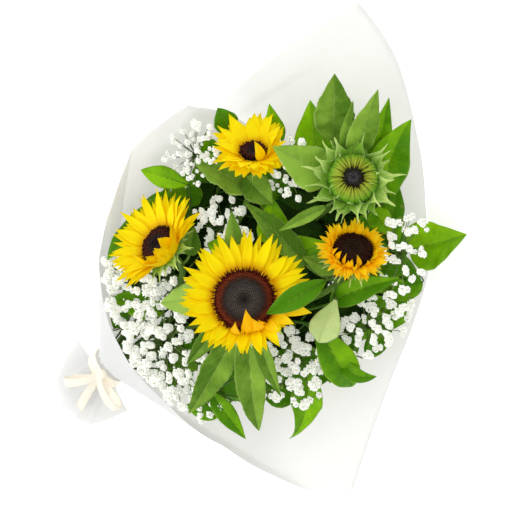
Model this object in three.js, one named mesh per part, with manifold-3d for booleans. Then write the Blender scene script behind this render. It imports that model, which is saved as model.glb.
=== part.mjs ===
// A bunch of sunflowers with glossy foliage and gypsophila, rolled in a sheet of white paper, tied with cream
// ribbon and laid on its back. Millimetres, +Z up. +Y runs from the cut stems to the heads, and +X is to the right
// of someone who looks along +Y. The blooms look up and towards the head end.
import * as THREE from "three";
import { mergeVertices } from "three/addons/utils/BufferGeometryUtils.js";
import Module from "manifold-3d";

const wasm = await Module();
wasm.setup();
const { Manifold, Mesh } = wasm;
const rad = THREE.MathUtils.degToRad;
const vec = (x, y, z) => new THREE.Vector3(x, y, z);

// Driving dimensions
const BLOOM_RISE = rad(60); // how far above the table the blooms look
const TIE = vec(-8, -214, 24); // centre of the stems under the ribbon
const STEM_END_Y = -282; // where the stems are cut
const SUNFLOWER_STEM = 3.4; // radii of the three kinds of stem
const FOLIAGE_STEM = 1.5;
const SPRAY_STEM = 1.1;
const PAPER = 1; // the sheet's thickness
const PAPER_AT_TIE = 17.6; // radius of the sheet's inner turn under the ribbon
const PAPER_TURN = 2.2; // how much wider its outer turn is
const RIBBON_WIDTH = 16;
const RIBBON = 1;
const PETAL = 1.4; // thickness of a petal along its middle
const LEAF = 1.4; // thickness of a leaf along its midrib
const CLEARANCE = 0.4; // room that each piece keeps round it
const SMOOTHING = 0.02; // corners nearer than this to a flat face are dropped
const CENTRE = vec(46.3, -2.6, 0); // middle of the footprint, which becomes the origin

const PAINTS = {
  paper: ["#f2f1ec", 0.7],
  ribbon: ["#efe6c4", 0.55],
  twine: ["#c9b48a", 0.8],
  petal: ["#ffd500", 0.55],
  amberPetal: ["#f7a800", 0.55],
  disc: ["#35261f", 0.9],
  greenRays: ["#86b02a", 0.6],
  sunflowerGreen: ["#6c9a35", 0.65],
  budGreen: ["#8fba4a", 0.65],
  glossyGreen: ["#4d8f14", 0.4],
  gypsophila: ["#f7f7f2", 0.75],
};

// Where a thing lies: across and along as seen by someone whom the blooms face, and height above the table
function spot([across, along, height]) {
  return vec(across, (along + height * Math.cos(BLOOM_RISE)) / Math.sin(BLOOM_RISE), height);
}

const ACROSS = vec(1, 0, 0);
const HEADWARD = vec(0, Math.sin(BLOOM_RISE), -Math.cos(BLOOM_RISE));
const FACING = vec(0, Math.cos(BLOOM_RISE), Math.sin(BLOOM_RISE));

// A number from 0 to 1 that is always the same for the same i and k
function chance(i, k) {
  const wave = Math.sin(i * 12.9898 + k * 78.233 + 4.1) * 43758.5453;
  return wave - Math.floor(wave);
}

// Solid through a row of rings with equal counts, closed by a flat end and a tip or a second flat end. A blade's
// rings go over its upper face and back under its lower one, and its quads are split alike on both.
function loft(rings, tip = null, blade = false) {
  const count = rings[0].length;
  const last = rings.length - 1;
  const vertices = rings.flat();
  const faces = [];
  const at = (i, j) => i * count + (j % count);
  for (let i = 0; i < last; i++) {
    for (let j = 0; j < count; j++) {
      const [a, b, c, d] = [at(i, j), at(i, j + 1), at(i + 1, j + 1), at(i + 1, j)];
      if (blade && j >= count / 2) faces.push([a, b, d], [b, c, d]);
      else faces.push([a, b, c], [a, c, d]);
    }
  }
  const cap = [];
  if (blade && count === 4) cap.push([0, 1, 3], [1, 2, 3]);
  if (blade && count === 6) cap.push([0, 1, 4], [0, 4, 5], [1, 2, 3], [1, 3, 4]);
  if (!blade) for (let j = 1; j < count - 1; j++) cap.push([0, j, j + 1]);
  faces.push(...cap.map(([a, b, c]) => [a, c, b]));
  if (tip) {
    vertices.push(tip);
    for (let j = 0; j < count; j++) faces.push([at(last, j), at(last, j + 1), vertices.length - 1]);
  } else faces.push(...cap.map(([a, b, c]) => [at(last, a), at(last, b), at(last, c)]));
  return closedSolid(vertices, faces);
}

// A solid from its corners and triangles, turned outwards if they face in
function closedSolid(vertices, faces) {
  let volume = 0;
  for (const [a, b, c] of faces) {
    volume += vertices[a].dot(vertices[b].clone().cross(vertices[c]));
  }
  const turned = volume < 0 ? faces.map(([a, b, c]) => [a, c, b]) : faces;
  const mesh = new Mesh({
    numProp: 3,
    vertProperties: Float32Array.from(vertices.flatMap((v) => [v.x, v.y, v.z])),
    triVerts: Uint32Array.from(turned.flat()),
  });
  return new Manifold(mesh);
}

// A thin sheet through a grid of points, each row as long as the others
function sheetSolid(grid, thickness) {
  const rows = grid.length;
  const columns = grid[0].length;
  const near = (i, most) => [Math.max(i - 1, 0), Math.min(i + 1, most - 1)];
  const vertices = [[], []];
  for (let i = 0; i < rows; i++) {
    for (let j = 0; j < columns; j++) {
      const [i0, i1] = near(i, rows);
      const [j0, j1] = near(j, columns);
      const down = grid[i1][j].clone().sub(grid[i0][j]);
      const over = grid[i][j1].clone().sub(grid[i][j0]);
      const normal = down.cross(over).normalize().multiplyScalar(thickness / 2);
      vertices[0].push(grid[i][j].clone().add(normal));
      vertices[1].push(grid[i][j].clone().sub(normal));
    }
  }
  const faces = [];
  const front = (i, j) => i * columns + j;
  const back = (i, j) => rows * columns + front(i, j);
  for (let i = 0; i < rows - 1; i++) {
    for (let j = 0; j < columns - 1; j++) {
      faces.push([front(i, j), front(i + 1, j), front(i + 1, j + 1)]);
      faces.push([front(i, j), front(i + 1, j + 1), front(i, j + 1)]);
      faces.push([back(i, j), back(i + 1, j + 1), back(i + 1, j)]);
      faces.push([back(i, j), back(i, j + 1), back(i + 1, j + 1)]);
    }
  }
  const rim = [];
  for (let j = 0; j < columns - 1; j++) rim.push([0, j]);
  for (let i = 0; i < rows - 1; i++) rim.push([i, columns - 1]);
  for (let j = columns - 1; j > 0; j--) rim.push([rows - 1, j]);
  for (let i = rows - 1; i > 0; i--) rim.push([i, 0]);
  rim.forEach(([i, j], k) => {
    const [m, n] = rim[(k + 1) % rim.length];
    faces.push([front(i, j), front(m, n), back(m, n)], [front(i, j), back(m, n), back(i, j)]);
  });
  return closedSolid(vertices.flat(), faces);
}

// Points on a cubic curve
function curve(a, b, c, d, steps) {
  const points = [];
  for (let i = 0; i <= steps; i++) {
    const t = i / steps;
    const s = 1 - t;
    const point = vec(0, 0, 0);
    point.addScaledVector(a, s * s * s).addScaledVector(b, 3 * s * s * t);
    points.push(point.addScaledVector(c, 3 * s * t * t).addScaledVector(d, t * t * t));
  }
  return points;
}

// A round stalk along a row of points, from one radius to another
function stalk(points, from, to, sides, grow = 0) {
  const whole = points[points.length - 1].clone().sub(points[0]);
  const guide = Math.abs(whole.x) > 0.8 * whole.length() ? vec(0, 0, 1) : ACROSS;
  const rings = points.map((point, i) => {
    const ahead = points[Math.min(i + 1, points.length - 1)];
    const forward = ahead.clone().sub(points[Math.max(i - 1, 0)]).normalize();
    const side = guide.clone().addScaledVector(forward, -guide.dot(forward)).normalize();
    const other = forward.clone().cross(side);
    const radius = from + ((to - from) * i) / (points.length - 1) + grow;
    return Array.from({ length: sides }, (_, j) => {
      const angle = (2 * Math.PI * j) / sides;
      const corner = point.clone().addScaledVector(side, radius * Math.cos(angle));
      return corner.addScaledVector(other, radius * Math.sin(angle));
    });
  });
  return loft(rings);
}

// A leaf from its base to its tip. Its faces look along "face", its middle rises by arch and swings by sway, its
// halves are raised by fold, and its edge waves.
function leafFrame(leaf) {
  const base = spot(leaf.base);
  const tip = spot(leaf.tip);
  const length = tip.distanceTo(base);
  const along = tip.clone().sub(base).normalize();
  const face = FACING.clone().applyAxisAngle(along, rad(leaf.roll ?? 0));
  const side = along.clone().cross(face).normalize();
  const middle = base.clone().lerp(tip, 0.5);
  middle.addScaledVector(side.clone().cross(along), length * (leaf.arch ?? 0.12) * 2);
  middle.addScaledVector(side, length * (leaf.sway ?? 0) * 2);
  return { base, tip, middle, side, length };
}

function leafHalfWidth(leaf, s) {
  const widest = leaf.widest ?? 0.42;
  const warped = Math.pow(s, Math.log(0.5) / Math.log(widest));
  return (leaf.width / 2) * Math.pow(Math.sin(Math.PI * Math.min(0.03 + 0.97 * warped, 1)), 0.85);
}

function leafPoint(leaf, frame, s, w) {
  const t = 1 - s;
  const point = vec(0, 0, 0).addScaledVector(frame.base, t * t);
  point.addScaledVector(frame.middle, 2 * s * t).addScaledVector(frame.tip, s * s);
  const forward = frame.middle.clone().sub(frame.base).multiplyScalar(t);
  forward.addScaledVector(frame.tip.clone().sub(frame.middle), s).normalize();
  const side = frame.side.clone().addScaledVector(forward, -frame.side.dot(forward)).normalize();
  const normal = side.clone().cross(forward).normalize();
  const half = leafHalfWidth(leaf, s);
  const wave = Math.sin(s * (leaf.waves ?? 9) + (w > 0 ? 1.7 : 0)) * (leaf.ripple ?? 0.09);
  const lift = half * Math.abs(w) * ((leaf.fold ?? 0.25) + wave);
  return { point: point.addScaledVector(side, half * w).addScaledVector(normal, lift), normal };
}

const LEAF_STATIONS = [0, 0.26, 0.56, 0.82]; // shares of a leaf's length at which it has corners
const SMALL_LEAF_STATIONS = [0, 0.3, 0.7];
const LEAF_STALK = 1.2; // radius of its stalk
const STALK_SECTION = [[-1, 0], [0, 1], [1, 0], [0, -1]];
const STALK_ROOM = [[-1, 0.4], [0, 1], [1, 0.4], [1, -0.4], [0, -1], [-1, -0.4]];

// The solid of a leaf: its blade, and before it the stalk or stem along "path", which ends at the leaf's base
function leafSolid(leaf, path, radius, grow = 0) {
  const frame = leafFrame(leaf);
  const stations = leaf.width > 28 ? LEAF_STATIONS : SMALL_LEAF_STATIONS;
  const rings = stations.map((s) => {
    const [left, middle, right] = [-1, 0, 1].map((w) => leafPoint(leaf, frame, s, w));
    const spread = 1 + grow / Math.max(leafHalfWidth(leaf, s), 1);
    const [one, other] = [left, right].map(({ point }) => point.lerp(middle.point, 1 - spread));
    const above = middle.point.clone().addScaledVector(middle.normal, LEAF / 2 + grow);
    const below = middle.point.clone().addScaledVector(middle.normal, -LEAF / 2 - grow);
    if (!grow) return [one, above, other, below];
    const edge = (point, sign) => point.clone().addScaledVector(middle.normal, sign * grow);
    return [edge(one, 1), above, edge(other, 1), edge(other, -1), below, edge(one, -1)];
  });
  const start = frame.middle.clone().sub(frame.base).normalize();
  let side = frame.side.clone().addScaledVector(start, -frame.side.dot(start)).normalize();
  let ahead = frame.base;
  for (const point of [...path].reverse()) {
    const forward = ahead.clone().sub(point).normalize();
    side = side.clone().addScaledVector(forward, -side.dot(forward)).normalize();
    const across = side;
    const up = across.clone().cross(forward);
    const reach = radius + grow;
    rings.unshift((grow ? STALK_ROOM : STALK_SECTION).map(([a, b]) => {
      return point.clone().addScaledVector(across, a * reach).addScaledVector(up, b * reach);
    }));
    ahead = point;
  }
  const tip = frame.tip.clone().addScaledVector(frame.tip.clone().sub(frame.middle).normalize(), grow);
  return loft(rings, tip, true);
}

// The frame of a flower head: origin in the middle of its disc, z the way that it looks
function headFrame(head) {
  const tilt = rad(head.tilt);
  const bearing = rad(head.bearing);
  const aside = ACROSS.clone().multiplyScalar(Math.cos(bearing));
  aside.addScaledVector(HEADWARD, Math.sin(bearing));
  const facing = FACING.clone().multiplyScalar(Math.cos(tilt)).addScaledVector(aside, Math.sin(tilt));
  const x = ACROSS.clone().addScaledVector(facing, -ACROSS.dot(facing)).normalize();
  const y = facing.clone().cross(x);
  return new THREE.Matrix4().makeBasis(x, y, facing).setPosition(spot(head.at));
}

const PETAL_WIDTHS = [[0, 0.45], [0.45, 1], [0.82, 0.75]]; // share of the length, share of the width
const SHORT_PETAL_WIDTHS = [[0, 0.6], [0.55, 1]];
const BRACT_WIDTHS = [[0, 0.7], [0.45, 1]];

// A pointed petal or bract that grows from a ring round the head. It leaves at an angle "rise" and curls by "bend".
function petal(frame, { round, radius, from, length, width, rise, bend, widths = PETAL_WIDTHS }, grow = 0) {
  const outward = vec(Math.cos(round), Math.sin(round), 0);
  const side = vec(-Math.sin(round), Math.cos(round), 0);
  const curl = Math.abs(bend) < 0.01 ? 0.01 : bend;
  const middle = (s) => {
    const angle = rise + curl * s;
    const reach = radius + (length * (Math.sin(angle) - Math.sin(rise))) / curl;
    const height = from - (length * (Math.cos(angle) - Math.cos(rise))) / curl;
    return { at: outward.clone().multiplyScalar(reach).setZ(height), angle };
  };
  const rings = widths.map(([s, share]) => {
    const { at, angle } = middle(s);
    const up = outward.clone().multiplyScalar(-Math.sin(angle)).setZ(Math.cos(angle));
    const half = (width / 2) * share + grow;
    const lift = half * 0.12;
    const corner = (out, high) => at.clone().addScaledVector(side, out).addScaledVector(up, high);
    if (!grow) return [corner(half, lift), corner(-half, lift), corner(0, -PETAL)];
    const over = [corner(half, lift + grow), corner(-half, lift + grow)];
    return [...over, corner(-half, lift - grow), corner(0, -PETAL - grow), corner(half, lift - grow)];
  });
  const place = (v) => v.applyMatrix4(frame);
  const end = middle(1 + grow / length).at;
  return loft(rings.map((ring) => ring.map(place)), place(end));
}

// Rings round a frame's z, as radius and height. Each next ring is turned on by "stagger" of a side.
function turned(frame, profile, sides, stagger = 0.5, ripple = () => 0) {
  const rings = profile.map(([radius, height], i) => Array.from({ length: sides }, (_, j) => {
    const round = (2 * Math.PI * (j + (i % 2) * stagger)) / sides;
    const corner = vec(Math.cos(round), Math.sin(round), 0).multiplyScalar(radius);
    return corner.setZ(height + ripple(i, j)).applyMatrix4(frame);
  }));
  return loft(rings);
}

// The five heads. at is the middle of the disc, tilt and bearing turn the bloom away from the viewer, and folds are
// the petals that curl in over the disc, by where they stand round it.
const HEADS = [
  {
    name: "front", at: [30, -38, 148], tilt: 8, bearing: 158, disc: 31, dome: 6,
    petals: 34, length: 35, width: 13.5, cup: 13, bend: -6, paint: "petal", slot: [2.4, 5.6],
    folds: { from: -58, to: 4, rise: 66, bend: 108, length: 34 }, bracts: 9, bractLength: 24, bractCup: 0,
  },
  {
    name: "left", at: [-69, -69, 136], tilt: 48, bearing: 196, disc: 20, dome: 5,
    petals: 28, length: 38, width: 14, cup: 34, bend: -14, paint: "petal", slot: [-5.2, 4.4],
    folds: { from: -24, to: 44, rise: 66, bend: 74, length: 30 }, bracts: 9, bractLength: 22, bractCup: 10,
  },
  {
    name: "upper", at: [-80, 66, 96], tilt: 46, bearing: 142, disc: 15, dome: 4,
    petals: 24, length: 31, width: 12, cup: 38, bend: -16, paint: "petal", slot: [-6.4, -3.4],
    folds: { from: -64, to: 2, rise: 64, bend: 80, length: 23 }, bracts: 9, bractLength: 20, bractCup: 12,
  },
  {
    name: "right", at: [63, 79, 100], tilt: 36, bearing: 131, disc: 20.5, dome: 4,
    petals: 34, length: 19, width: 8, cup: 30, bend: -24, paint: "amberPetal", slot: [6.6, -1.6],
    folds: null, bracts: 9, bractLength: 21, bractCup: 4,
  },
];
const BUD = {
  name: "bud", at: [7, 126, 92], tilt: 10, bearing: 140, disc: 25, eye: 10, slot: [0.6, -5.2],
  bractLength: 30,
};

// Leaves that grow from the sunflowers' own stems
const SUNFLOWER_LEAVES = {
  front: [
    { base: [46, -58, 124], tip: [84, -160, 112], width: 33, arch: 0.08, roll: -10 },
    { base: [53, -54, 122], tip: [148, -118, 92], width: 34, arch: 0.08, roll: 10 },
    { base: [58, -46, 126], tip: [130, -72, 106], width: 20, arch: 0.08, roll: 25 },
    { base: [30, -66, 128], tip: [42, -126, 118], width: 22, arch: 0.05, roll: -15 },
    { base: [4, -64, 130], tip: [-24, -108, 126], width: 38, arch: 0.06, widest: 0.3 },
    { base: [-2, -22, 122], tip: [-49, 11, 114], width: 22, arch: 0.08 },
  ],
  left: [
    { base: [-42, -52, 110], tip: [-61, -29, 112], width: 22, arch: 0.05 },
  ],
  upper: [
    { base: [-58, 38, 82], tip: [-113, 14, 100], width: 42, arch: 0.1, roll: 15, fold: 0.35 },
    { base: [-54, 52, 78], tip: [-27, 42, 74], width: 30, arch: 0.06 },
  ],
  right: [
    { base: [42, 34, 86], tip: [-47, 27, 98], width: 27, arch: 0.05, roll: 15, fold: 0.4 },
    { base: [68, 54, 84], tip: [34, 36, 98], width: 22, arch: 0.06 },
  ],
  bud: [
    { base: [-12, 108, 82], tip: [-72, 85, 114], width: 48, arch: 0.1, widest: 0.35 },
    { base: [-37, 138, 58], tip: [-88, 181, 66], width: 44, arch: 0.05, ripple: 0.16, waves: 26 },
    { base: [-12, 142, 66], tip: [-48, 204, 86], width: 30, arch: 0.06, roll: 10 },
    { base: [-22, 136, 72], tip: [-55, 178, 80], width: 13, arch: 0.04 },
    { base: [10, 88, 84], tip: [-2, 34, 104], width: 14, arch: 0.05 },
  ],
};

// The glossy foliage: where each stem sits in the bunch, and its leaves, the last one at the stem's end
const FOLIAGE = [
  {
    name: "foliage_right", slot: [4.3, -11],
    leaves: [
      { base: [60, 88, 16], tip: [100, 78, 14], width: 36 },
      { base: [100, 126, 20], tip: [125, 180, 20], width: 52, arch: 0.08, widest: 0.36 },
    ],
  },
  {
    name: "foliage_back", slot: [0.4, -11.8],
    leaves: [
      { base: [44, 122, 50], tip: [76, 121, 58], width: 25, arch: 0.1 },
      { base: [6, 168, 44], tip: [-33, 207, 56], width: 22, arch: 0.08 },
      { base: [44, 144, 36], tip: [-2, 211, 44], width: 38, arch: 0.12, sway: -0.08, widest: 0.5 },
    ],
  },
  {
    name: "foliage_left", slot: [-8.6, 8.1],
    leaves: [
      { base: [-50, -88, 60], tip: [-84, -108, 60], width: 34 },
      { base: [-82, -22, 62], tip: [-114, 2, 66], width: 34 },
      { base: [-112, -18, 88], tip: [-110, -96, 92], width: 26, arch: 0.04, sway: -0.12, widest: 0.6 },
      { base: [-98, -6, 94], tip: [-142, -34, 112], width: 23, arch: 0.08, widest: 0.55 },
    ],
  },
  {
    name: "foliage_upper_left", slot: [-11.5, -2.7],
    leaves: [
      { base: [-86, 24, 44], tip: [-128, 42, 56], width: 36 },
      { base: [-72, 92, 46], tip: [-108, 111, 60], width: 22, arch: 0.08 },
      { base: [-106, 62, 66], tip: [-139, 68, 80], width: 26, arch: 0.08, widest: 0.5 },
    ],
  },
  {
    name: "foliage_back_left", slot: [-7.3, -9.3],
    leaves: [
      { base: [-14, 52, 34], tip: [-66, 66, 38], width: 40 },
      { base: [-30, 108, 28], tip: [-84, 146, 36], width: 42 },
    ],
  },
  {
    name: "foliage_middle", slot: [0.8, 1.2],
    leaves: [
      { base: [0, -8, 82], tip: [-40, -30, 92], width: 36 },
      { base: [6, 22, 74], tip: [-34, 52, 76], width: 34 },
      { base: [20, 20, 72], tip: [40, 66, 66], width: 34 },
    ],
  },
  {
    name: "foliage_side", slot: [10.8, 4.8],
    leaves: [
      { base: [68, 38, 122], tip: [55, -30, 155], width: 24, arch: 0.13, fold: 0.5 },
      { base: [90, 34, 98], tip: [113, -8, 104], width: 33, arch: 0.1, widest: 0.6 },
      { base: [90, 28, 84], tip: [116, 98, 78], width: 27, arch: 0.06, sway: -0.05, fold: 0.4 },
    ],
  },
  {
    name: "foliage_low_right", slot: [11.8, 1],
    leaves: [
      { base: [98, 44, 14], tip: [148, 36, 10], width: 42 },
      { base: [140, 8, 62], tip: [178, 15, 66], width: 18, arch: 0.14, sway: 0.12 },
      { base: [98, 2, 74], tip: [178, -6, 58], width: 44, arch: 0.12, widest: 0.5 },
    ],
  },
  {
    name: "foliage_low", slot: [8.2, 8.5],
    leaves: [
      { base: [60, -74, 58], tip: [108, -116, 54], width: 42 },
      { base: [80, -26, 26], tip: [130, -56, 20], width: 42 },
      { base: [130, -38, 56], tip: [174, -98, 44], width: 35, arch: 0.1, sway: -0.1 },
      { base: [82, -128, 94], tip: [142, -131, 84], width: 21, arch: 0.06 },
    ],
  },
  {
    name: "foliage_lip", slot: [-1.2, 11.7],
    leaves: [
      { base: [28, -104, 60], tip: [60, -146, 70], width: 38 },
      { base: [-14, -112, 84], tip: [-62, -147, 100], width: 30, sway: 0.05 },
    ],
  },
];

// The gypsophila: each spray's slot in the bunch, the patch that its florets cover, and their height
const SPRAYS = [
  { name: "gypsophila_lip", slot: [3, 12], at: [12, -130, 106], reach: [50, 30], turn: -8, twigs: 13 },
  { name: "gypsophila_left", slot: [-5, 11.3], at: [-52, -114, 114], reach: [42, 30], turn: -50, twigs: 12 },
  { name: "gypsophila_inner", slot: [-9.8, 1.2], at: [-42, -6, 92], reach: [28, 22], turn: 0, twigs: 6 },
  { name: "gypsophila_upper_left", slot: [-12.3, 1.7], at: [-118, 20, 92], reach: [26, 26], turn: 60, twigs: 8 },
  { name: "gypsophila_back", slot: [-3.8, -11.8], at: [-44, 84, 70], reach: [30, 16], turn: 140, twigs: 5 },
  { name: "gypsophila_upper_right", slot: [8.3, -9.2], at: [98, 120, 74], reach: [34, 20], turn: 70, twigs: 8 },
  { name: "gypsophila_right", slot: [10.3, -6.9], at: [134, 42, 58], reach: [40, 22], turn: 80, twigs: 10 },
  { name: "gypsophila_low", slot: [12, -3], at: [112, -44, 76], reach: [38, 26], turn: -20, twigs: 10 },
];

// The sheet's edge at the open end of the cone, from its inner end round to its outer one: where it stands round
// the stems, in degrees, then its spot
const PAPER_EDGE = [
  [250, -95, 85, 8], [236, -126, 75, 32], [224, -142, 63, 60], [210, -160, 46, 90], [197, -164, 8, 108],
  [184, -165, -27, 115], [170, -138, -72, 118], [156, -117, -105, 114], [142, -93, -132, 110],
  [122, -55, -157, 105], [98, 0, -173, 100], [78, 56, -172, 95], [60, 102, -165, 82],
  [42, 140, -153, 60], [28, 171, -145, 40], [12, 229, -116, 18], [0, 258, -81, 7],
  [-28, 211, -4, 2], [-46, 160, 83, 0], [-56, 127, 130, 0], [-66, 85, 162, 0], [-78, 26, 201, 0],
  [-92, -60, 241, 0], [-108, -130, 250, 2], [-116, -141, 181, 2], [-123, -146, 113, 1],
  [-130, -143, 82, 0],
];
const TAIL = vec(-4, -285, 17); // middle of the sheet's end round the cut stems
const TAIL_REACH = [31, 15.5];
const CONE_ROWS = [0.18, 0.4, 0.62, 0.82, 1];
const SAG = 22; // how far the sheet's lower side hangs below a straight line
const INNER_LAYER = 2.6; // height of the inner turn over the outer one on the table

function wrapGrid() {
  const count = PAPER_EDGE.length - 1;
  const columns = PAPER_EDGE.map(([degrees, ...place], k) => {
    const turn = k / count;
    const round = rad(degrees);
    const [right, up] = [Math.cos(round), Math.sin(round)];
    const radius = PAPER_AT_TIE + PAPER_TURN * turn;
    const floor = PAPER / 2 + (k < 3 ? INNER_LAYER : 0);
    const rest = (v) => v.setZ(Math.max(v.z, floor));
    const ring = (y) => vec(TIE.x + radius * right, TIE.y + y, TIE.z + radius * up);
    const [wide, high] = TAIL_REACH.map((reach) => reach + PAPER_TURN * turn);
    const droop = 10 * Math.cos(round - rad(-60));
    const tail = vec(TAIL.x + wide * right, TAIL.y - droop, TAIL.z + high * up);
    const start = ring(RIBBON_WIDTH / 2 + 1);
    const low = ring(-RIBBON_WIDTH / 2 - 1);
    const rim = spot(place);
    const cone = CONE_ROWS.map((t) => {
      const point = start.clone().lerp(rim, t);
      point.z -= SAG * Math.max(-up, 0) * Math.sin(Math.PI * Math.min(t * 1.2, 1));
      return rest(point);
    });
    return [rest(tail), rest(tail.clone().lerp(low, 0.5)), low, start, ...cone];
  });
  return columns[0].map((_, row) => columns.map((column) => column[row]));
}

function wrapSheet(grow) {
  return sheetSolid(wrapGrid(), PAPER + 2 * grow);
}

const FAN = 0.5; // how soon the stems spread after the tie

// A stem from its cut end, straight through the tie, then in one curve to where it ends
function stemPath(slot, end, arrive, steps) {
  const [right, up] = slot;
  const cut = vec(TIE.x + right, STEM_END_Y, TIE.z + up - 7);
  const tie = vec(TIE.x + right, TIE.y, TIE.z + up);
  const reach = end.distanceTo(tie);
  const onward = vec(0, 1, 0).addScaledVector(end.clone().sub(tie).divideScalar(reach), FAN).normalize();
  const leave = tie.clone().addScaledVector(onward, reach * 0.36);
  const enter = end.clone().addScaledVector(arrive, -reach * 0.28);
  return [cut, ...curve(tie, leave, enter, end, steps)];
}

// The place on a stem that a leaf leaves from: near its base and, if it can be, behind it
function rootOn(path, leaf) {
  const base = spot(leaf.base);
  const along = spot(leaf.tip).sub(base).normalize();
  const points = path.slice(1).flatMap((end, i) => {
    return Array.from({ length: 6 }, (_, k) => path[i].clone().lerp(end, (k + 1) / 6));
  });
  const cost = (point) => point.distanceTo(base) - 0.7 * base.clone().sub(point).dot(along);
  return points.reduce((best, point) => (cost(point) < cost(best) ? point : best));
}

const STEM_STEPS = 6;
const STEM_SIDES = 5;
const NECK = 17; // how far behind the disc's face a stem meets its head
const RECEPTACLE_SIDES = 10;
const SUNFLOWER_LEAF_STALK = 1.6; // radius

// The profile of the cup under a disc, grown all round
function receptacle(profile, grow) {
  return profile.map(([radius, height], i) => [radius + grow, height + grow * [-1, -1, 0, 1][i]]);
}

// A sunflower's green parts: stem, leaves, the cup under the disc and the bracts round it
function sunflowerGreens(head, grow) {
  const frame = headFrame(head);
  const facing = vec(0, 0, 1).transformDirection(frame);
  const neck = spot(head.at).addScaledVector(facing, -NECK);
  const path = stemPath(head.slot, neck, facing, STEM_STEPS);
  const d = head.disc;
  const cup = receptacle([[4, -19], [d * 0.6, -12], [d * 0.95, -7.5], [d * 0.95, -5]], grow);
  const pieces = [stalk(path, SUNFLOWER_STEM, SUNFLOWER_STEM, STEM_SIDES, grow)];
  pieces.push(turned(frame, cup, RECEPTACLE_SIDES, 0));
  for (let i = 0; i < head.bracts; i++) {
    pieces.push(petal(frame, {
      round: (2 * Math.PI * (i + 0.3 * chance(i, 5))) / head.bracts,
      radius: d * 0.86,
      from: -7,
      length: head.bractLength * (0.85 + 0.3 * chance(i, 6)),
      width: (2.3 * Math.PI * d) / head.bracts,
      rise: rad(head.bractCup - 8 * chance(i, 7)),
      bend: rad(-22 * chance(i, 8)),
      widths: BRACT_WIDTHS,
    }, grow));
  }
  for (const leaf of SUNFLOWER_LEAVES[head.name]) {
    pieces.push(leafSolid(leaf, [rootOn(path, leaf)], SUNFLOWER_LEAF_STALK, grow));
  }
  return Manifold.union(pieces);
}

// A petal's place and shape. Odd petals stand in the upper layer, and those in the folded stretch curl inwards.
function petalShape(head, i) {
  const degrees = (360 * (i + 0.3 * (chance(i, 1) - 0.5))) / head.petals;
  const folds = head.folds;
  const past = folds ? (((degrees - folds.from) % 360) + 360) % 360 : 0;
  const folded = folds && past < folds.to - folds.from && i % 2 === 1;
  const upper = i % 2 === 1;
  return {
    round: rad(degrees),
    radius: head.disc + 0.8,
    from: upper ? -0.3 : -3,
    length: (folded ? folds.length : head.length) * (0.88 + 0.24 * chance(i, 2)),
    width: head.width * (folded ? 0.75 : 0.85 + 0.25 * chance(i, 3)),
    rise: rad(folded ? folds.rise : head.cup + (upper ? 7 : -3) + 5 * (chance(i, 4) - 0.5)),
    bend: rad(folded ? folds.bend : head.bend + 10 * (chance(i, 9) - 0.5)),
    widths: head.length > 32 || folded ? PETAL_WIDTHS : SHORT_PETAL_WIDTHS,
  };
}

function sunflowerRays(head, grow) {
  const frame = headFrame(head);
  const outer = head.disc + 2.8 + grow;
  const inner = head.disc - 6 - grow;
  const rim = turned(frame, [[outer, -4.4 - grow], [outer, 0.2 + grow]], 14, 0);
  const petals = [];
  for (let i = 0; i < head.petals; i++) petals.push(petal(frame, petalShape(head, i), grow));
  return Manifold.union([rim.subtract(turned(frame, [[inner, -8], [inner, 4]], 8, 0)), ...petals]);
}

// The disc: a low dome whose florets stand up from it by a formula, in rings that are half a step apart
function sunflowerDisc(head, grow) {
  const frame = headFrame(head);
  const rings = Math.round(head.disc / 4.6);
  const profile = [[head.disc - 4 + grow, 0.7 - grow]];
  for (let k = 0; k <= rings; k++) {
    const share = 1 - k / (rings + 0.6);
    const height = head.dome * (1 - share ** 4) - head.dome * 0.35 * Math.exp(-((share / 0.3) ** 2));
    profile.push([(head.disc - 1.2) * share + grow, 1.8 + height + grow]);
  }
  const sides = head.disc > 25 ? 22 : 16;
  return turned(frame, profile, sides, 0.5, (i, j) => (i > 1 && (i + j) % 2 ? 1 : 0));
}

const BUD_RIDGES = 16;

// The closed rays of the bud: a ridged dome with a well in its middle for the eye
function budRays(grow) {
  const frame = headFrame(BUD);
  const { disc, eye } = BUD;
  const profile = [
    [disc - 5, -1, -grow], [disc, 4, 0], [disc - 2, 10, grow], [disc - 9, 14, grow], [eye + 1.2, 13, grow],
    [eye + 0.7, 8.5, grow],
  ];
  const rings = profile.map(([radius, height, lift], i) => {
    return Array.from({ length: BUD_RIDGES * 2 }, (_, j) => {
      const round = (Math.PI * j) / BUD_RIDGES;
      const out = radius + (i < 5 ? grow : -grow) + (j % 2 && i > 0 && i < 4 ? 1.2 : 0);
      const corner = vec(Math.cos(round), Math.sin(round), 0).multiplyScalar(out);
      return corner.setZ(height + lift).applyMatrix4(frame);
    });
  });
  return loft(rings);
}

function budEye(grow) {
  const frame = headFrame(BUD);
  const { eye } = BUD;
  const profile = [[eye - 0.2, 9], [eye, 11], [eye * 0.72, 12.8], [eye * 0.45, 13.6], [eye * 0.2, 13.9]];
  const grown = profile.map(([r, z], i) => [r + grow, z + (i ? grow : -grow)]);
  return turned(frame, grown, 12, 0.5, (i, j) => (i > 1 && (i + j) % 2 ? 0.8 : 0));
}

// The bud's whorls of pointed bracts: count, radius, height, length, width, rise and bend
const BUD_WHORLS = [
  [9, 23.5, -2.1, 30, 11, 42, -34], [9, 23, -3.9, 34, 13, 14, 10], [8, 22, -5.8, 27, 12, -8, 22],
];

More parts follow.
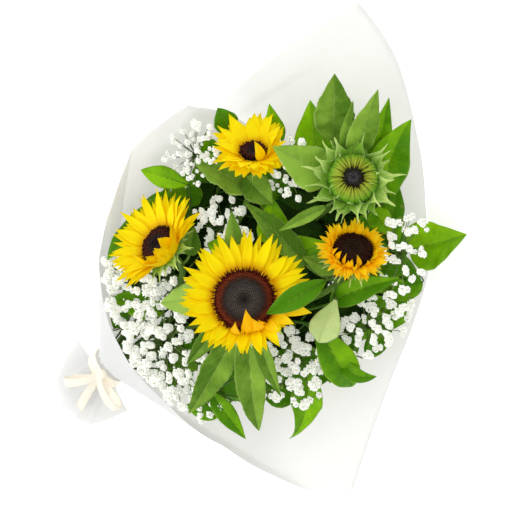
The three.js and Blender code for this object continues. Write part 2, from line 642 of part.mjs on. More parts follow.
function budGreens(grow) {
  const frame = headFrame(BUD);
  const facing = vec(0, 0, 1).transformDirection(frame);
  const neck = spot(BUD.at).addScaledVector(facing, -NECK);
  const path = stemPath(BUD.slot, neck, facing, STEM_STEPS);
  const cup = receptacle([[4, -19], [14, -12], [BUD.disc + 0.6, -7], [BUD.disc + 0.6, -1.6]], grow);
  const pieces = [stalk(path, SUNFLOWER_STEM, SUNFLOWER_STEM, STEM_SIDES, grow)];
  pieces.push(turned(frame, cup, RECEPTACLE_SIDES, 0));
  BUD_WHORLS.forEach(([count, radius, from, length, width, rise, bend], whorl) => {
    for (let i = 0; i < count; i++) {
      pieces.push(petal(frame, {
        round: (2 * Math.PI * (i + whorl / 3 + 0.2 * chance(i, whorl))) / count,
        radius,
        from,
        length: length * (0.85 + 0.3 * chance(i, 10 + whorl)),
        width,
        rise: rad(rise + 6 * (chance(i, 13 + whorl) - 0.5)),
        bend: rad(bend + 20 * (chance(i, 16 + whorl) - 0.5)),
        widths: BRACT_WIDTHS,
      }, grow));
    }
  });
  for (const leaf of SUNFLOWER_LEAVES.bud) {
    pieces.push(leafSolid(leaf, [rootOn(path, leaf)], SUNFLOWER_LEAF_STALK, grow));
  }
  return Manifold.union(pieces);
}

function foliageStem(plant, grow) {
  const last = plant.leaves[plant.leaves.length - 1];
  const end = spot(last.base);
  const arrive = end.clone().sub(TIE).normalize().addScaledVector(spot(last.tip).sub(end).normalize(), 0.5);
  const path = stemPath(plant.slot, end, arrive.normalize(), STEM_STEPS);
  const pieces = plant.leaves.slice(0, -1).map((leaf) => leafSolid(leaf, [rootOn(path, leaf)], LEAF_STALK, grow));
  return Manifold.union([leafSolid(last, path.slice(0, -1), FOLIAGE_STEM, grow), ...pieces]);
}

const FLORET = 5.2; // radius of a knot of florets, which stands for two or three of them
const TWIG = 0.6; // radius of a twig

const GOLDEN_ANGLE = Math.PI * (3 - Math.sqrt(5));

// Where a spray's hub is, and the florets on each of its twigs. The twigs spread from the hub by the golden angle,
// each with its florets in a row from the middle of the patch to its edge.
function sprayPlan(spray, lift = 0) {
  const [across, along, height] = spray.at;
  const [long, short] = spray.reach;
  const turn = rad(spray.turn);
  const onPatch = (share, angle, z) => {
    const [u, v] = [long * share * Math.cos(angle), short * share * Math.sin(angle)];
    const right = across + u * Math.cos(turn) - v * Math.sin(turn);
    const ahead = along + u * Math.sin(turn) + v * Math.cos(turn);
    return spot([right, ahead, Math.max(height + z, 6)]);
  };
  const hub = onPatch(0, 0, -Math.min(34, height * 0.5));
  const twigs = Array.from({ length: spray.twigs }, (_, i) => {
    const angle = GOLDEN_ANGLE * i + 0.7 * chance(i, spray.twigs);
    const near = 0.12 + 0.3 * ((i * 0.618) % 1);
    return [0, 1, 2].map((k) => {
      const share = near + (1.02 - near) * (k / 2) ** 0.85;
      const sway = 0.5 * (chance(i, k + 20) - 0.5);
      return onPatch(share, angle + sway, lift + 12 * (1 - share) + 10 * (chance(i, k + 30) - 0.5));
    });
  });
  return { hub, twigs };
}

// A twig from the hub through its florets, each a small double cone
function twigSolid(hub, centres, grow) {
  const rings = [];
  const ring = (point, forward, radius, turn = 0) => {
    const side = ACROSS.clone().addScaledVector(forward, -ACROSS.dot(forward)).normalize();
    const other = forward.clone().cross(side);
    rings.push([0, 1, 2].map((j) => {
      const angle = (2 * Math.PI * j) / 3 + turn;
      const corner = point.clone().addScaledVector(side, radius * Math.cos(angle));
      return corner.addScaledVector(other, radius * Math.sin(angle));
    }));
  };
  let before = hub;
  let forward;
  centres.forEach((centre, k) => {
    forward = centre.clone().sub(before).normalize();
    if (k === 0) ring(hub.clone().addScaledVector(forward, 1), forward, TWIG + grow);
    const under = k === 0 ? FLORET * 0.7 : centre.distanceTo(before) / 2;
    ring(centre.clone().addScaledVector(forward, -under), forward, TWIG + grow);
    ring(centre, forward, FLORET + grow);
    before = centre;
  });
  return loft(rings, before.clone().addScaledVector(forward, FLORET * 0.8 + grow));
}

const HUB = 3; // radius of the knot that the twigs spread from

function sprayStem(spray, grow) {
  const { hub } = sprayPlan(spray);
  const above = spot(spray.at).sub(hub).normalize();
  const arrive = hub.clone().sub(TIE).normalize().addScaledVector(above, 0.35).normalize();
  const path = stemPath(spray.slot, hub, arrive, STEM_STEPS - 1);
  const knot = [hub.clone().addScaledVector(above, -HUB), hub.clone().addScaledVector(above, HUB)];
  const pieces = [stalk(path, SPRAY_STEM, SPRAY_STEM * 0.9, 4, grow), stalk(knot, HUB, HUB, 4, grow)];
  return Manifold.union(pieces);
}

// The twigs of a spray that have room, each at the first of a few heights at which it touches nothing. Beyond their
// first florets they also keep apart from each other.
const TWIG_LIFTS = [0, 7, -8, 14, -16, 22];

function fittingTwigs(spray, rooms) {
  const fitting = [];
  const meets = (solid, other) => boxesMeet(solid, other) && !solid.intersect(other).isEmpty();
  for (let i = 0; i < spray.twigs; i++) {
    for (const lift of TWIG_LIFTS) {
      const { hub, twigs } = sprayPlan(spray, lift);
      const twig = twigSolid(hub, twigs[i], 0);
      const outer = twigSolid(hub.clone().lerp(twigs[i][0], 0.7), twigs[i], 0);
      if (rooms.some((room) => meets(twig, room)) || fitting.some(({ solid }) => meets(outer, solid))) continue;
      fitting.push({ solid: twig, room: twigSolid(hub, twigs[i], CLEARANCE) });
      break;
    }
  }
  return fitting;
}

const TWINE_BORE = 14.3; // radius of the string's ring, inside
const TWINE = 2.1; // how thick it is
const TWINE_SIDES = 16;

// The string round the bare stems, under the paper and the ribbon
function stemTwine(grow) {
  const frame = new THREE.Matrix4().makeRotationX(-Math.PI / 2).setPosition(TIE.x, TIE.y - 4, TIE.z - 0.4);
  const ring = (radius, reach) => turned(frame, [[radius, -reach], [radius, reach]], TWINE_SIDES, 0);
  return ring(TWINE_BORE + TWINE + grow, TWINE + grow).subtract(ring(TWINE_BORE - grow, 3 * TWINE));
}

// A flat strip along a path, with "wide" the way its width runs
function strip(points, wide, width, thickness) {
  const rings = points.map((point, i) => {
    const forward = points[Math.min(i + 1, points.length - 1)].clone().sub(points[Math.max(i - 1, 0)]);
    const flat = forward.cross(wide).normalize().multiplyScalar(thickness / 2);
    const half = wide.clone().multiplyScalar(width / 2);
    return [[1, 1], [-1, 1], [-1, -1], [1, -1]].map(([a, b]) => {
      return point.clone().addScaledVector(half, a).addScaledVector(flat, b);
    });
  });
  return loft(rings);
}

const BAND = PAPER_AT_TIE + PAPER_TURN + PAPER / 2 + 0.6; // inner radius of the ribbon round the sheet
const KNOT = vec(TIE.x + 2, TIE.y, TIE.z + BAND + RIBBON + 2.5);
const BOW_WIDTH = 14;
const BAND_SIDES = 20;
const KNOT_RADIUS = 4.5;

// The bow's two loops and two tails: the way each runs from the knot, in degrees from +X, and the curves that it
// follows, as distance from the knot and height over it
const BOW = [
  { bearing: 239, out: [[0, 1], [8, 16], [34, 20], [38, 8]], back: [[38, 8], [41, -2], [20, 0], [0, -2]] },
  { bearing: -12, out: [[0, 1], [10, 14], [34, 14], [40, 2]], back: [[40, 2], [44, -12], [20, -6], [0, -2]] },
  { bearing: 284, out: [[0, 0], [12, 8], [28, 3], [50, -5]] },
  { bearing: -34, out: [[0, 0], [14, 7], [30, -6], [42, -22]] },
];

function ribbon(grow) {
  const frame = new THREE.Matrix4().makeRotationX(-Math.PI / 2).setPosition(TIE);
  const half = RIBBON_WIDTH / 2 + grow;
  const radius = BAND + RIBBON + grow;
  const ring = (r, reach) => turned(frame, [[r, -reach], [r, reach]], BAND_SIDES, 0);
  const pieces = [ring(radius, half).subtract(ring(BAND - grow, 2 * half))];
  for (const { bearing, out, back } of BOW) {
    const away = vec(Math.cos(rad(bearing)), Math.sin(rad(bearing)), 0);
    const place = ([far, high]) => KNOT.clone().addScaledVector(away, far).setZ(KNOT.z + high);
    const points = curve(...out.map(place), 4);
    if (back) points.push(...curve(...back.map(place), 4).slice(1));
    const wide = vec(-away.y, away.x, 0);
    pieces.push(strip(points, wide, BOW_WIDTH + 2 * grow, RIBBON + 2 * grow));
  }
  const lump = [-8, 8].map((y) => KNOT.clone().add(vec(0, y, -0.5)));
  return Manifold.union([...pieces, stalk(lump, KNOT_RADIUS, KNOT_RADIUS, 6, grow)]);
}

function boxesMeet(a, b) {
  const [p, q] = [a.boundingBox(), b.boundingBox()];
  return [0, 1, 2].every((k) => p.min[k] <= q.max[k] && q.min[k] <= p.max[k]);
}

// What is left of a piece once the room of the others is cut from it, without its loose scraps
function clearOf(solid, rooms) {
  let left = solid;
  for (const room of rooms) if (boxesMeet(left, room)) left = left.subtract(room);
  const bodies = left.simplify(SMOOTHING).decompose();
  return bodies.reduce((best, body) => (body.volume() > best.volume() ? body : best));
}

function meshOf(solid, name, [colour, roughness]) {
  const { vertProperties, triVerts, numProp } = solid.getMesh();
  const positions = [];
  for (let i = 0; i < vertProperties.length; i += numProp) {
    positions.push(vertProperties[i], vertProperties[i + 1], vertProperties[i + 2]);
  }
  const geometry = new THREE.BufferGeometry();
  geometry.setAttribute("position", new THREE.Float32BufferAttribute(positions, 3));
  geometry.setIndex(Array.from(triVerts));
  const welded = mergeVertices(geometry, 1e-3);
  welded.computeVertexNormals();
  const material = new THREE.MeshStandardMaterial({ color: colour, roughness, metalness: 0 });
  const mesh = new THREE.Mesh(welded, material);
  mesh.name = name;
  return mesh;
}

// Every piece, in the order in which each keeps clear of those before it. Sprays grow their twigs last of all.
const stems = [...HEADS, BUD].map((head) => {
  const facing = vec(0, 0, 1).transformDirection(headFrame(head));
  const neck = spot(head.at).addScaledVector(facing, -NECK);
  const path = stemPath(head.slot, neck, facing, STEM_STEPS);
  return stalk(path, SUNFLOWER_STEM, SUNFLOWER_STEM, STEM_SIDES, CLEARANCE);
});
const pieces = [
  ["wrap_sheet", "paper", wrapSheet],
  ["ribbon", "ribbon", ribbon],
  ["stem_twine", "twine", stemTwine],
  ...HEADS.map((head) => [`sunflower_${head.name}_disc`, "disc", (grow) => sunflowerDisc(head, grow)]),
  ["sunflower_bud_eye", "disc", budEye],
  ["sunflower_bud_rays", "greenRays", budRays],
  ...HEADS.map((head) => [`sunflower_${head.name}_rays`, head.paint, (grow) => sunflowerRays(head, grow)]),
  ...SPRAYS.map((spray) => [spray.name, "gypsophila", (grow) => sprayStem(spray, grow), spray]),
  ["sunflower_bud_greens", "budGreen", budGreens],
  ...HEADS.map((head) => [
    `sunflower_${head.name}_greens`, "sunflowerGreen", (grow) => sunflowerGreens(head, grow),
  ]),
  ...FOLIAGE.map((plant) => [plant.name, "glossyGreen", (grow) => foliageStem(plant, grow)]),
];

const rooms = [];
const built = pieces.map(([name, paint, make, spray]) => {
  const solid = clearOf(make(0), spray ? [...rooms, ...stems] : rooms);
  rooms.push(make(CLEARANCE));
  return { name, paint, solid, spray };
});
for (const piece of built.filter(({ spray }) => spray)) {
  const own = built.indexOf(piece);
  const twigs = fittingTwigs(piece.spray, rooms.filter((_, i) => i !== own));
  piece.solid = Manifold.union([piece.solid, ...twigs.map(({ solid }) => solid)]).simplify(SMOOTHING);
  rooms[own] = Manifold.union([rooms[own], ...twigs.map(({ room }) => room)]);
}

const bouquet = new THREE.Group();
for (const { name, paint, solid } of built) bouquet.add(meshOf(solid, name, PAINTS[paint]));
bouquet.position.copy(CENTRE).negate();

export default bouquet;
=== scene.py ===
"""A bunch of sunflowers in white paper: the looks of its pieces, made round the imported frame."""

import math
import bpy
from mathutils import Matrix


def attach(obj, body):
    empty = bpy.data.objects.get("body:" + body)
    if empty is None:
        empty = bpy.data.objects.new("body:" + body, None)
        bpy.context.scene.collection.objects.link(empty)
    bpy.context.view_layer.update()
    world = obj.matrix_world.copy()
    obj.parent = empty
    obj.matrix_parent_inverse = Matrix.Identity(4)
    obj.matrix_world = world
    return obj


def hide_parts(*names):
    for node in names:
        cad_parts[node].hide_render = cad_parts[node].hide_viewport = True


bl_info = {
    "name": "Sunflower Bouquet",
    "version": (1, 0, 0),
    "blender": (4, 5, 0),
    "location": "3D View > Sidebar > Bouquet",
    "description": "Sunflowers, gypsophila and glossy foliage in a paper wrap, laid on its back",
    "category": "Add Mesh",
}

import bpy
import numpy as np
from mathutils import Matrix, Vector
from mathutils.bvhtree import BVHTree

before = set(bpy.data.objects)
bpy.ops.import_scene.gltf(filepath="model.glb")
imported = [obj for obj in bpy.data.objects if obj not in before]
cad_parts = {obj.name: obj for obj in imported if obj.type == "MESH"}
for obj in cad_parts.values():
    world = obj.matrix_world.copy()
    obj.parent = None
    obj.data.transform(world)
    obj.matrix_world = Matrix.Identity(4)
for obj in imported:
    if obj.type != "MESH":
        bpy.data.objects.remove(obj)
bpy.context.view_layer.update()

# Millimetres, as in the bunch's own drawing. +Y runs from the cut stems to the heads, +Z is up.
MM = 0.001
CENTRE = np.array([46.3, -2.6, 0.0])
BLOOM_RISE = math.radians(60)
ACROSS = np.array([1.0, 0.0, 0.0])
HEADWARD = np.array([0.0, math.sin(BLOOM_RISE), -math.cos(BLOOM_RISE)])
FACING = np.array([0.0, math.cos(BLOOM_RISE), math.sin(BLOOM_RISE)])
# The middle of the tie, where the stems are cut and how far they drop from the tie to there, how much they
# turn towards their heads as they leave it, and how far under a head its stem ends
TIE = np.array([-8.0, -214.0, 24.0])
STEM_END_Y = -271
STEM_DROP = 7
FAN = 0.5
NECK = 17
# The radii of stems and leaf stalks, and the steps of a stem's path: as it is drawn, and for rooting leaves
SUNFLOWER_STEM, FOLIAGE_STEM, SPRAY_STEM = 3.4, 1.5, 1.1
SUNFLOWER_LEAF_STALK, LEAF_STALK = 1.6, 1.2
FINE_STEPS, STEM_STEPS = 40, 6

# Each open bloom: its place and the way it looks, its disc and petals, and its place in the tie. "folds" are
# the petals folded over the disc, "lifts" those that stand up or sink: a middle, a half width and a rise.
HEADS = [
    dict(name="front", at=(30, -38, 148), tilt=8, bearing=158, disc=31, dome=6, slot=(2.4, 5.6),
         petals=34, length=35, width=13.5, cup=13, bend=-6, bract_length=24, bract_cup=0,
         folds=dict(start=-58, stop=4, rise=66, bend=108, length=34), lifts=[], stretch=0.13),
    dict(name="left", at=(-69, -69, 136), tilt=48, bearing=196, disc=20, dome=5, slot=(-5.2, 4.4),
         petals=28, length=38, width=14, cup=34, bend=-14, bract_length=22, bract_cup=10,
         folds=dict(start=-42, stop=62, rise=64, bend=30, length=31), lifts=[(10, 52, 46)]),
    dict(name="upper", at=(-80, 66, 96), tilt=46, bearing=142, disc=13.2, dome=2.6, slot=(-6.4, -3.4),
         petals=24, length=30.5, width=17, cup=38, bend=-16, bract_length=20, bract_cup=12,
         folds=dict(start=-34, stop=14, rise=62, bend=70, length=30, wide=0.62),
         lifts=[(-44, 76, -22), (52, 24, 26)], stretch=0.1),
    dict(name="right", at=(63, 79, 100), tilt=36, bearing=131, disc=20.5, dome=4, slot=(6.6, -1.6),
         petals=34, length=19, width=8, cup=30, bend=-24, bract_length=21, bract_cup=4, folds=None, lifts=[]),
]
# Petals that lie loose over the others: the way they point, length, width, rise and bend
LOOSE_PETALS = {
    "front": [(38, 40, 17, 20, -18), (22, 27, 13, 30, -34), (6, 20, 11, 36, -44), (-8, 18, 11, 52, 110)],
}
# Where the front bloom's petals are short under the loose ones, in degrees, and how long they are there
SHORT_PETALS, SHORT_SHARE = (2, 50), 0.66
# The small ragged petals round the disc of the bloom on the right, and the closed rays of the bud
INNER_PETALS, BUD_RAYS = 44, 44
BUD = dict(name="bud", at=(7, 126, 92), tilt=10, bearing=140, disc=25, eye=10, slot=(0.6, -5.2))


def leaf(base, tip, width, **shape):
    """A leaf's blade from its base to its tip, with whatever sets it apart from the others"""
    return dict(base=base, tip=tip, width=width, **shape)


SUNFLOWER_LEAVES = {
    "front": [
        leaf((46, -58, 124), (84, -160, 112), 33, arch=0.08, roll=-10),
        leaf((53, -54, 122), (148, -118, 92), 34, arch=0.08, roll=10),
        leaf((58, -46, 126), (130, -72, 106), 20, arch=0.08, roll=25),
        leaf((30, -66, 128), (42, -126, 118), 22, arch=0.05, roll=-15),
        leaf((4, -64, 130), (-24, -108, 126), 38, arch=0.06, widest=0.3, tone=1.2, pale=1),
        leaf((-2, -22, 122), (-49, 11, 114), 22, arch=0.08, tone=0.6),
    ],
    "left": [leaf((-42, -52, 110), (-61, -29, 112), 22, arch=0.05)],
    "upper": [
        leaf((-58, 38, 82), (-113, 14, 100), 44, arch=0.12, roll=15, fold=0.8, ripple=0.2, waves=17,
             tone=0.7),
        leaf((-66, 44, 88), (-26, 47, 84), 32, arch=0.06),
    ],
    "right": [
        leaf((42, 34, 86), (-47, 27, 98), 27, arch=0.05, roll=15, fold=0.4),
        leaf((68, 54, 84), (34, 36, 98), 22, arch=0.06),
    ],
    "bud": [
        leaf((-12, 108, 82), (-72, 85, 114), 48, arch=0.1, widest=0.35, tone=1.05),
        leaf((-37, 138, 58), (-88, 181, 66), 44, arch=0.05, ripple=0.16, waves=26),
        leaf((-12, 142, 66), (-48, 204, 86), 30, arch=0.06, roll=10),
        leaf((-22, 136, 72), (-55, 178, 80), 13, arch=0.04),
        leaf((10, 88, 84), (-2, 34, 104), 14, arch=0.05),
    ],
}

# Each glossy stem: its place in the tie, and its leaves, the last one at the stem's end
FOLIAGE = {
    "foliage_right": ((4.3, -11), [
        leaf((60, 88, 16), (100, 78, 14), 36),
        leaf((100, 126, 20), (125, 180, 20), 52, arch=0.08, widest=0.36),
    ]),
    "foliage_back": ((0.4, -11.8), [
        leaf((44, 122, 50), (76, 121, 58), 25, arch=0.1),
        leaf((10, 152, 44), (-33, 207, 56), 26, arch=0.08),
        leaf((44, 144, 36), (-2, 211, 44), 43, arch=0.12, sway=-0.1, widest=0.5),
    ]),
    "foliage_left": ((-8.6, 8.1), [
        leaf((-50, -88, 60), (-84, -108, 60), 34),
        leaf((-82, -22, 62), (-114, 2, 66), 34),
        leaf((-112, -18, 88), (-110, -96, 92), 26, arch=0.04, sway=-0.12, widest=0.6),
        leaf((-98, -6, 94), (-142, -34, 112), 23, arch=0.08, widest=0.55),
    ]),
    "foliage_upper_left": ((-11.5, -2.7), [
        leaf((-86, 24, 44), (-128, 42, 56), 36),
        leaf((-72, 92, 46), (-108, 111, 60), 22, arch=0.08, tone=0.9),
        leaf((-106, 62, 66), (-139, 68, 80), 26, arch=0.08, widest=0.6, tone=-0.1),
    ]),
    "foliage_back_left": ((-7.3, -9.3), [
        leaf((-14, 52, 34), (-66, 66, 38), 40),
        leaf((-30, 108, 28), (-84, 146, 36), 42),
    ]),
    "foliage_middle": ((0.8, 1.2), [
        leaf((0, -8, 82), (-40, -30, 92), 36),
        leaf((6, 22, 74), (-34, 52, 76), 34),
        leaf((20, 20, 72), (40, 66, 66), 34),
    ]),
    "foliage_side": ((10.8, 4.8), [
        leaf((68, 38, 122), (55, -30, 155), 24, arch=0.13, fold=0.6, tone=-0.2, widest=0.5),
        leaf((90, 34, 98), (113, -8, 104), 33, arch=0.1, widest=0.6, pale=1),
        leaf((90, 28, 84), (116, 98, 78), 27, arch=0.06, sway=-0.05, fold=0.4),
    ]),
    "foliage_low_right": ((11.8, 1), [
        leaf((98, 44, 14), (148, 36, 10), 42),
        leaf((144, 0, 64), (179, 16, 66), 17, arch=0.16, sway=0.2, point=0),
        leaf((98, 2, 74), (173, -10, 58), 38, arch=0.12, widest=0.56, point=0, ripple=0.05, fold=0.4),
    ]),
    "foliage_low": ((8.2, 8.5), [
        leaf((60, -74, 58), (108, -116, 54), 42),
        leaf((80, -26, 26), (130, -56, 20), 42),
        leaf((130, -38, 56), (174, -98, 44), 34, arch=0.1, sway=-0.1, widest=0.36, point=0.82, pinch=0.8),
        leaf((82, -128, 94), (142, -131, 84), 21, arch=0.06),
    ]),
    "foliage_lip": ((-1.2, 11.7), [
        leaf((106, -138, 86), (74, -157, 92), 18, arch=0.1, tone=0.2),
        leaf((28, -104, 60), (60, -146, 70), 38),
        leaf((-14, -112, 84), (-62, -147, 100), 30, sway=0.05),
    ]),
}

# Each spray of gypsophila: its place in the tie, the patch that its blossoms cover and their height, how many
# twigs it has and how thick they stand, the size of its blossoms, and more patches beside the main one
SPRAYS = [
    dict(name="gypsophila_lip", slot=(3, 12), at=(12, -130, 106), reach=(50, 30), turn=-8,
         twigs=13, more=60, thick=0.86, bloom=1.0,
         wings=[dict(at=(72, -136, 84), reach=(34, 18), turn=-10),
                dict(at=(30, -163, 102), reach=(58, 8), turn=1)]),
    dict(name="gypsophila_left", slot=(-5, 11.3), at=(-52, -114, 114), reach=(42, 30), turn=-50,
         twigs=12, more=50, thick=0.84, bloom=1.0,
         wings=[dict(at=(-64, -142, 110), reach=(36, 12), turn=-42)]),
    dict(name="gypsophila_inner", slot=(-9.8, 1.2), at=(-42, -6, 92), reach=(28, 22), turn=0,
         twigs=6, more=26, thick=1.0, bloom=0.86, wings=[]),
    dict(name="gypsophila_upper_left", slot=(-12.3, 1.7), at=(-118, 20, 92), reach=(26, 26), turn=60,
         twigs=8, more=34, thick=0.95, bloom=0.7, wings=[]),
    dict(name="gypsophila_back", slot=(-3.8, -11.8), at=(-44, 84, 70), reach=(30, 16), turn=140,
         twigs=5, more=22, thick=0.9, bloom=0.82, wings=[]),
    dict(name="gypsophila_upper_right", slot=(8.3, -9.2), at=(96, 116, 74), reach=(36, 20), turn=130,
         twigs=8, more=30, thick=0.7, bloom=0.9, wings=[]),
    dict(name="gypsophila_right", slot=(10.3, -6.9), at=(134, 42, 58), reach=(40, 22), turn=80,
         twigs=10, more=40, thick=0.85, bloom=0.9, wings=[]),
    dict(name="gypsophila_low", slot=(12, -3), at=(112, -44, 76), reach=(38, 26), turn=-20,
         twigs=10, more=40, thick=1.0, bloom=1.0, wings=[]),
]

# The sheet's edge at the open end of the cone: where it stands round the stems, in degrees, then its spot.
# The last value is 1 at the sheet's corners.
PAPER_EDGE = [
    (250, -95, 85, 8, 1), (236, -126, 75, 32, 0), (224, -142, 63, 60, 0), (210, -160, 46, 90, 1),
    (197, -164, 8, 108, 0), (184, -165, -27, 115, 1), (170, -138, -72, 118, 0), (156, -117, -105, 114, 0),
    (142, -93, -132, 110, 0), (122, -55, -157, 105, 0), (98, 0, -173, 100, 0), (78, 56, -172, 95, 0),
    (60, 102, -165, 82, 0), (42, 140, -153, 60, 0), (28, 171, -145, 40, 1), (12, 229, -116, 18, 0),
    (0, 258, -81, 7, 1), (-28, 211, -4, 2, 0), (-46, 160, 83, 0, 0), (-56, 127, 130, 0, 0),
    (-66, 85, 162, 0, 0), (-78, 26, 201, 0, 0), (-92, -60, 241, 0, 0), (-108, -128, 247, 2, 1),
    (-116, -141, 181, 2, 0), (-123, -146, 113, 1, 0), (-130, -143, 82, 0, 1),
]
# The sheet's radius at the tie and what it gains in its one turn, the length that it runs straight there, and
# the width of the ribbon's band
PAPER_AT_TIE, PAPER_TURN = 17.6, 2.2
STRAIGHT, BAND_WIDTH = 18, 12
# The middle of the sheet's end round the cut stems, and how far it reaches sideways and up from there
TAIL = np.array([-4.0, -285.0, 17.0])
TAIL_REACH = (35, 15.5)
# How far the cone's underside sags towards the table, and how far its inner layer lies over the outer one
SAG = 22
INNER_LAYER = 2.6
GOLDEN_ANGLE = math.pi * (3 - math.sqrt(5))
UP = np.array([0.0, 0.0, 1.0])


def srgb(code):
    """A colour of the web as the linear colour that materials take"""
    parts = [int(code[i:i + 2], 16) / 255 for i in (1, 3, 5)]
    return tuple(c / 12.92 if c < 0.04045 else ((c + 0.055) / 1.055) ** 2.4 for c in parts)


def unit(v):
    """v at a length of one"""
    return v / np.maximum(np.linalg.norm(v, axis=-1, keepdims=True), 1e-9)


def spot(place):
    """Where a thing lies: across and along as seen by someone whom the blooms face, and its height"""
    across, along, height = place
    return np.array([across, (along + height * math.cos(BLOOM_RISE)) / math.sin(BLOOM_RISE), height])


def flat(place):
    """The same place across, along and in height: what spot() takes"""
    return place[0], place[1] * math.sin(BLOOM_RISE) - place[2] * math.cos(BLOOM_RISE), place[2]


def chance(i, k):
    """A number from 0 to 1 that is always the same for the same i and k"""
    wave = math.sin(i * 12.9898 + k * 78.233 + 4.1) * 43758.5453
    return wave - math.floor(wave)


def spin(v, axis, angle):
    """v turned about an axis by an angle"""
    return (v * math.cos(angle) + np.cross(axis, v) * math.sin(angle)
            + axis * np.dot(axis, v) * (1 - math.cos(angle)))


def cubic(a, b, c, d, steps):
    """A curve from a to d that leaves towards b and arrives from c"""
    t = np.linspace(0, 1, steps + 1)[:, None]
    s = 1 - t
    return s ** 3 * a + 3 * s * s * t * b + 3 * s * t * t * c + t ** 3 * d


def smooth(points, steps):
    """A smooth path through points, with so many steps between each two"""
    points = np.asarray(points, float)
    ends = np.vstack([2 * points[0] - points[1], points, 2 * points[-1] - points[-2]])
    t = np.linspace(0, 1, steps, endpoint=False)[:, None]
    path = []
    for a, b, c, d in zip(ends, ends[1:], ends[2:], ends[3:]):
        path.append(0.5 * (2 * b + (c - a) * t + (2 * a - 5 * b + 4 * c - d) * t ** 2
                           + (3 * b - a - 3 * c + d) * t ** 3))
    return np.vstack(path + [points[-1:]])


class Piece:
    """Collects closed surfaces in millimetres, then makes one mesh object of them"""

    def __init__(self, name, materials):
        self.name = name
        self.materials = materials
        self.points, self.faces, self.paints, self.uvs, self.tones, self.unders = [], [], [], [], [], []
        self.count = 0

    def add(self, surface, paint=0, tone=0.5):
        points, faces, uv, under = surface
        self.faces += [[self.count + k for k in face] for face in faces]
        self.paints += [paint] * len(faces)
        self.points.append(points)
        self.uvs.append(uv)
        self.unders.append(under)
        self.tones.append(np.full(len(points), float(tone)))
        self.count += len(points)

    def make(self):
        mesh = bpy.data.meshes.new(self.name)
        mesh.from_pydata(((np.vstack(self.points) - CENTRE) * MM).tolist(), [], self.faces)
        for name, values in (("tone", self.tones), ("under", self.unders)):
            mesh.attributes.new(name, "FLOAT", "POINT").data.foreach_set("value", np.concatenate(values))
        corners = np.empty(len(mesh.loops), int)
        mesh.loops.foreach_get("vertex_index", corners)
        uv = mesh.uv_layers.new(name="UVMap")
        uv.data.foreach_set("uv", np.vstack(self.uvs)[corners].ravel())
        for material in self.materials:
            mesh.materials.append(material)
        mesh.polygons.foreach_set("material_index", self.paints)
        mesh.polygons.foreach_set("use_smooth", [True] * len(mesh.polygons))
        mesh.update()
        made = bpy.data.objects.new(self.name, mesh)
        bpy.context.collection.objects.link(made)
        return made


def shell(middle, thickness):
    """The closed skin of a blade, from the grid of its middle surface"""
    rows, columns = middle.shape[:2]
    normal = unit(np.cross(np.gradient(middle, axis=0), np.gradient(middle, axis=1)))
    half = normal * (np.broadcast_to(thickness, (rows, columns))[..., None] / 2)
    points = np.concatenate([(middle + half).reshape(-1, 3), (middle - half).reshape(-1, 3)])
    index = np.arange(rows * columns).reshape(rows, columns)
    upper = np.stack([index[:-1, :-1], index[1:, :-1], index[1:, 1:], index[:-1, 1:]], -1).reshape(-1, 4)
    lower = upper[:, ::-1] + rows * columns
    rim = np.concatenate([index[0, :-1], index[:-1, -1], index[-1, :0:-1], index[:0:-1, 0]])
    after = np.roll(rim, -1)
    edge = np.stack([rim, after, after + rows * columns, rim + rows * columns], -1)
    v, u = np.mgrid[0:1:rows * 1j, 0:1:columns * 1j]
    uv = np.stack([u.ravel(), v.ravel()], -1)
    under = np.repeat([0.0, 1.0], rows * columns)
    return points, np.vstack([upper, lower, edge]).tolist(), np.vstack([uv, uv]), under


def ring_walls(count, sides):
    """The indices of rings of points, the same turned by one, the faces between rings and the points' UVs"""
    index = np.arange(count * sides).reshape(count, sides)
    turned = np.roll(index, -1, axis=1)
    walls = np.stack([index[:-1], turned[:-1], turned[1:], index[1:]], -1).reshape(-1, 4).tolist()
    v, u = np.mgrid[0:1:count * 1j, 0:1:sides * 1j]
    return index, turned, walls, np.stack([u.ravel(), v.ravel()], -1)


def tube(path, radii, sides=10):
    """A closed round stalk along a path"""
    path = np.asarray(path, float)
    count = len(path)
    radii = np.broadcast_to(radii, count)
    forward = unit(np.gradient(path, axis=0))
    side = ACROSS if abs(forward[0] @ ACROSS) < 0.8 else UP
    around = np.linspace(0, 2 * math.pi, sides, endpoint=False)
    rings = []
    for centre, ahead, radius in zip(path, forward, radii):
        side = unit(side - ahead * (side @ ahead))
        other = np.cross(ahead, side)
        rings.append(centre + radius * (np.cos(around)[:, None] * side + np.sin(around)[:, None] * other))
    points = np.vstack(rings + [path[:1], path[-1:]])
    index, turned, walls, uv = ring_walls(count, sides)
    first, last = count * sides, count * sides + 1
    caps = [[first, turned[0, j], index[0, j]] for j in range(sides)]
    caps += [[last, index[-1, j], turned[-1, j]] for j in range(sides)]
    return points, walls + caps, np.vstack([uv, [[0.5, 0], [0.5, 1]]]), np.zeros(len(points))


def lathe(place, profile, sides):
    """A closed solid of rings round a head's axis, taken from the head's own frame to the bunch's by place"""
    around = np.linspace(0, 2 * math.pi, sides, endpoint=False)
    rings = [np.stack([radius * np.cos(around), radius * np.sin(around), np.full(sides, float(height))], -1)
             for radius, height in profile]
    index, _, walls, uv = ring_walls(len(profile), sides)
    points = place(np.vstack(rings))
    return points, walls + [index[0, ::-1].tolist(), index[-1].tolist()], uv, np.zeros(len(points))


